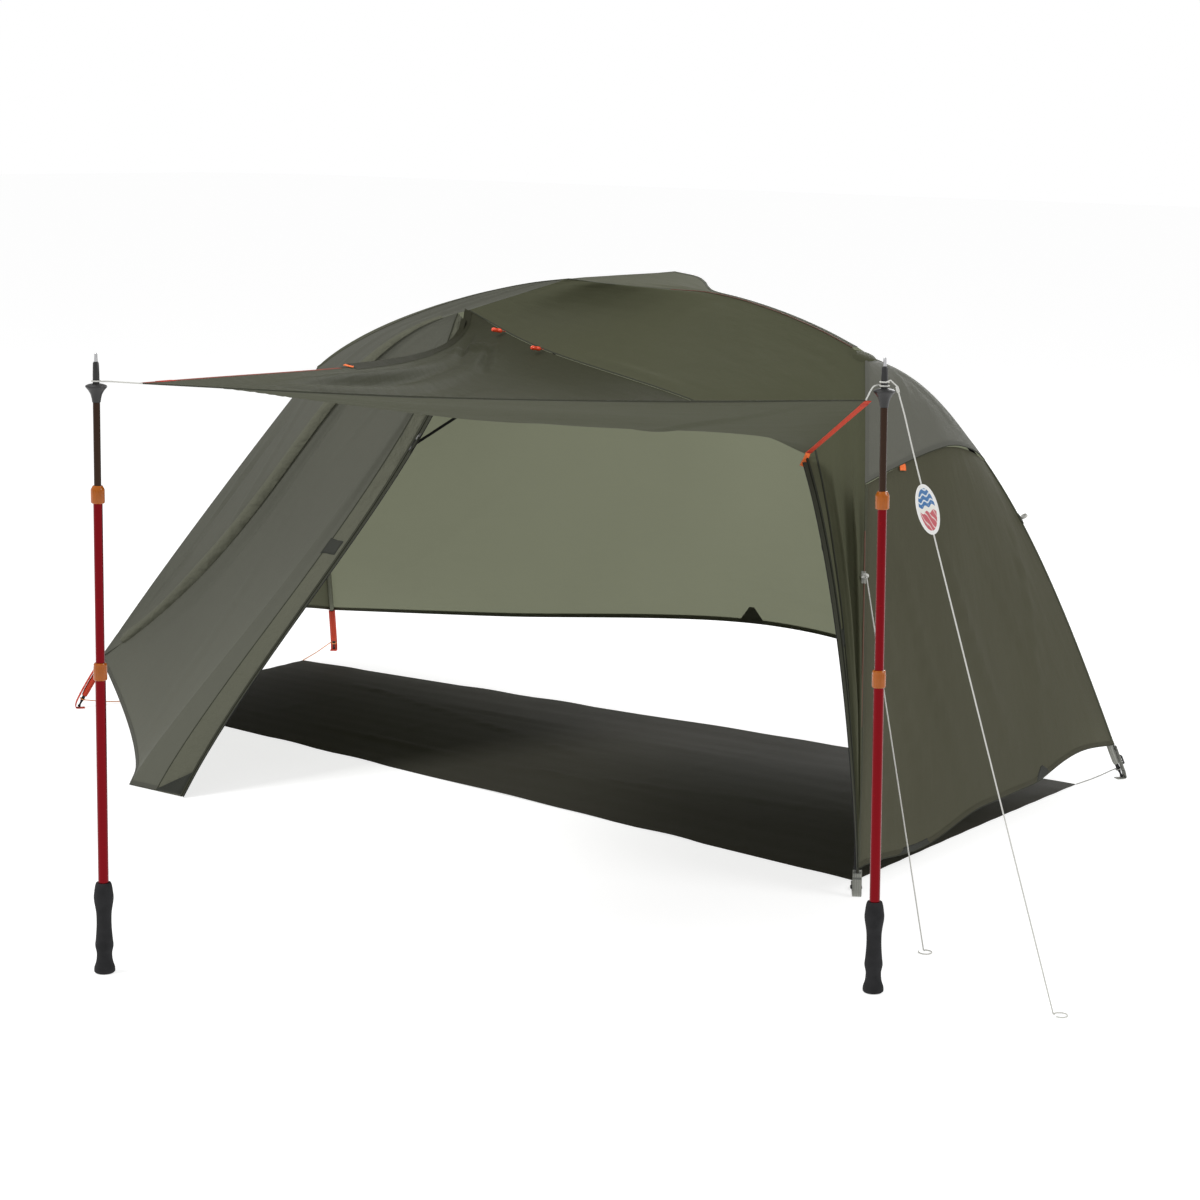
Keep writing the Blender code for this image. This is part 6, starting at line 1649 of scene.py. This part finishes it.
def walking_pole(side):
    foot, axis, reach = pole_axis(side)
    upper, lower, basket = (reach - below for below in (TIP_TO_UPPER_LOCK, TIP_TO_LOWER_LOCK, TIP_TO_BASKET))
    low = basket - BASKET_HEIGHT

    def piece(name, shape, finish, slot, body=None):
        rider = f"{side}_{body}" if body else "tent"
        shape.make(f"{side}_walk_{name}", finish, body=rider, slot=slot, replaces=[f"{side}_pole_{name}"],
                   sharp=30)

    def lathe(profile, sides=40):
        return Shape().loop(turned(profile, foot, axis, sides))

    def shaft(name, outer, low, high, finish, slot, body=None):
        profile = tube_profile(outer, outer - TUBE_WALL, low, high - 0.0003)
        piece(name + "_shaft", lathe(profile), finish, slot, body)

    def lock(name, shaft_radius, low):
        rings = collar_rings(shaft_radius, low, foot, axis)
        piece(name + "_lock", Shape().loop(rings), AMBER, "lock_amber", name + "_collar")

    piece("grip", lathe(grip_profile(), 48), GRIP, "grip_foam", "upper_section")
    shaft("upper", UPPER_TUBE, 0.0303, upper, RED_SHAFT, "shaft_red", "upper_section")
    lock("upper", MIDDLE_TUBE, upper)
    shaft("middle", MIDDLE_TUBE, upper - PUSHED_IN, lower, RED_SHAFT, "shaft_red", "middle_section")
    lock("lower", LOWER_TUBE, lower)
    shaft("lower", LOWER_TUBE, lower - PUSHED_IN, low, GREY_SHAFT, "shaft_dark")
    cone = [(0.0059, low), (0.0068, low), (0.0071, low + 0.0008), (0.008, low + 0.007),
            (0.0098, low + 0.014), (0.0136, low + 0.0205), (0.0168, low + 0.024), (0.018, low + 0.0256),
            (0.0182, low + 0.0268), (0.0178, low + 0.0278), (0.016, low + 0.029), (0.0128, low + 0.0302),
            (0.0094, basket), (0.0059, basket), (0.0059, low)]
    piece("basket", lathe(cone, 48), BLACK_PLASTIC, "basket_black")
    point = reach - 0.014
    ferrule = [(0, low), (0.0056, low), (0.0056, basket + 0.015), (0.005, point - 0.003),
               (0.004, point - 0.0006), (0.003, point)]
    point_profile = [(0.003, point), (0.0029, point + 0.002), (0.0025, reach - 0.0008),
                     (0.0019, reach), (0.0009, reach - 0.0006), (0, reach - 0.0004)]
    shape = lathe(ferrule, 32).loop(turned(point_profile, foot, axis, 32), 1)
    piece("tip", shape, [BLACK_PLASTIC, STEEL], "tip_steel")


for side in ("left", "right"):
    walking_pole(side)
print("walking poles", [round(pole_axis(side)[2], 3) for side in POLES], "m")


# %% [markdown]
# ## Patches and tabs
#
# Where a pull meets the cloth, a sewer adds a second layer: dark triangles on the hems, a square tab on
# each zip's flap, and small orange tabs as markers. They are thin pieces that lie on the surface.

# %% Patches
def surface_patch(name, panel, corners, lift):
    """A patch of cloth on a panel; corners are four pairs of shares along and across the panel."""
    rows, columns = panel.grid.shape[:2]

    def at(field, u, v):
        i, j = np.clip(u, 0, 1) * (rows - 1), np.clip(v, 0, 1) * (columns - 1)
        i0, j0 = min(int(i), rows - 2), min(int(j), columns - 2)
        fi, fj = i - i0, j - j0
        return ((field[i0, j0] * (1 - fi) + field[i0 + 1, j0] * fi) * (1 - fj)
                + (field[i0, j0 + 1] * (1 - fi) + field[i0 + 1, j0 + 1] * fi) * fj)

    c00, c10, c11, c01 = (np.array(c, float) for c in corners)
    top = []
    for p in np.linspace(0, 1, 11):
        top.append([])
        for q in np.linspace(0, 1, 11):
            u, v = (c00 * (1 - p) + c10 * p) * (1 - q) + (c01 * (1 - p) + c11 * p) * q
            height = lift if min(p, 1 - p, q, 1 - q) > 0 else 0.0001
            top[-1].append(at(panel.grid, u, v) + at(panel.normals, u, v) * height)
    Shape().grid(np.array(top)).make(name, PATCH, slot="binding_black", outward=panel.outward, sharp=80)


for side, panel, length, place, size, rim, lift in (("left", VESTIBULE, 1.25, 0.475, 0.042, 0.97, 0.0032),
                                                    ("right", FRONT_RIGHT, 1.86, 0.745, 0.036, 1.0, 0.0026)):
    a, b = place - size / 2 / length, place + size / 2 / length
    surface_patch("tie_back_" + side, panel, [(a, 0.86), (b, 0.86), (b, rim), (a, rim)], lift)
for name, panel, corners in (
        ("hem_patch_rear", REAR_PANEL, [(0.572, 1.0), (0.606, 1.0), (0.592, 0.958), (0.586, 0.958)]),
        ("hem_patch_head_a", HEAD_WALL, [(1.0, 0.13), (1.0, 0.26), (0.984, 0.24), (0.984, 0.16)]),
        ("hem_patch_head_b", HEAD_WALL, [(1.0, 0.655), (1.0, 0.72), (0.965, 0.692), (0.965, 0.684)]),
        ("vestibule_tip_patch", VESTIBULE, [(1.0, 0.88), (1.0, 1.0), (0.95, 1.0), (0.975, 0.95)])):
    surface_patch(name, panel, corners, 0.0052 if panel is VESTIBULE else 0.0012)


# %% Tabs and small caps
def tab(name, place, along, out, size, thick=STRAP):
    """A folded tab that stands out from a seam."""
    line = [place + out * size[1] * k / 5 + along * 0.0006 * math.sin(k) for k in range(-1, 6)]
    Shape().rod(ribbon(line, along, size[0], thick)).make(name, ORANGE_TAB, slot="webbing_red")


tab("crease_tab", CREASE.at(0.388), CREASE.direction(0.388), unit(vec(-0.35, -1, 0.25)), (0.02, 0.012))
tab("awning_edge_tab", awning_point(0.0, 0.43) + vec(0, 0, 0.001),
    unit(awning_point(0, 0.44) - awning_point(0, 0.42)), unit(-across + vec(0, 0, 0.2)), (0.022, 0.016))
for end, hub in ((-1, FOOT_HUB), (1, HEAD_HUB)):
    cap = [(0.036, -0.013), (0.032, -0.0075), (0.024, -0.0022), (0.014, 0.0004), (0.004, 0.0014),
           (1e-5, 0.0014)]
    Shape().loop(turned(cap, hub, unit(vec(end * 0.35, 0, 1)), 32)).make(
        f"hub_patch_{'foot' if end < 0 else 'head'}", OLIVE, slot="fly_olive", outward=UP)
knot = straight(POLE_LINE[-11], POLE_LINE[-11] + unit(POLE_LINE[-10] - POLE_LINE[-11]) * 0.012, 6)
Shape().loop(tube(knot, [0.0014, 0.0027, 0.0024, 0.003, 0.0024, 0.0027, 0.0014], 10)).make(
    "guyline_knot", WHITE_CORD, slot="cord_white")
tab("awning_tail_right", awning_point(1.0, 0.012) + across * 0.006, across, unit(vec(-0.35, -0.2, -1)),
    (0.01, 0.03))
tab("hood_tab", hood_edge(0.201) - vec(0, 0, 0.001), unit(hood_edge(0.22) - hood_edge(0.18)),
    unit(vec(0.35, -0.15, -1)), (0.016, 0.012), thick=0.0012)


# %% [markdown]
# ## Light and floor
#
# The object stands in a white studio. A bright, even sky from all sides gives the cloth its plain colour,
# two large soft lamps model the folds, and light from behind glows through the far wall. The floor is
# white to the camera, but keeps the soft shadow where the tent stands.

# %% Lamps
def lamp(name, place, target, size, power):
    light = bpy.data.lights.new(name, "AREA")
    light.size, light.energy = size, power
    made = bpy.data.objects.new(name, light)
    made.location = place
    made.rotation_euler = (Vector(target) - Vector(place)).to_track_quat("-Z", "Y").to_euler()
    bpy.context.scene.collection.objects.link(made)


lamp("key_lamp", (-1.2, -3.6, 5.4), (0, -0.4, 0.5), 1.8, 230)
lamp("side_lamp", (5.2, 1.2, 3.6), (0.6, -0.2, 0.5), 2.4, 110)
lamp("back_lamp", (-0.6, 5.2, 3.4), (0, 0.2, 0.6), 3.0, 150)
print([light.name for light in bpy.data.lights])

# %% Sky
world = bpy.data.worlds.new("studio")
world.use_nodes = True
bpy.context.scene.world = world
tree = world.node_tree
sky, paper_white = tree.nodes["Background"], tree.nodes.new("ShaderNodeBackground")
for background, strength in ((sky, 0.54), (paper_white, 1.0)):
    background.inputs["Color"].default_value = (1, 1, 1, 1)
    background.inputs["Strength"].default_value = strength
ray = tree.nodes.new("ShaderNodeLightPath")
tree.links.new(ray.outputs["Is Camera Ray"], mix_shaders(tree, sky, paper_white, tree.nodes["World Output"]))

# %% Floor
floor_mesh = bpy.data.meshes.new("floor")
floor_mesh.from_pydata([(-40, -40, -0.0002), (40, -40, -0.0002), (40, 40, -0.0002), (-40, 40, -0.0002)], [],
                       [(0, 1, 2, 3)])
floor = bpy.data.objects.new("floor", floor_mesh)
bpy.context.scene.collection.objects.link(floor)
paper = Finish("white_floor", Base_Color=(0.86, 0.86, 0.86, 1), Roughness=0.9, Specular_IOR_Level=0.1)
glow = paper.tree.nodes.new("ShaderNodeEmission")
glow.inputs["Strength"].default_value = 1.5
paper.blend(0.5, glow)
floor_mesh.materials.append(paper.material)
bpy.context.scene.view_settings.view_transform = "Standard"
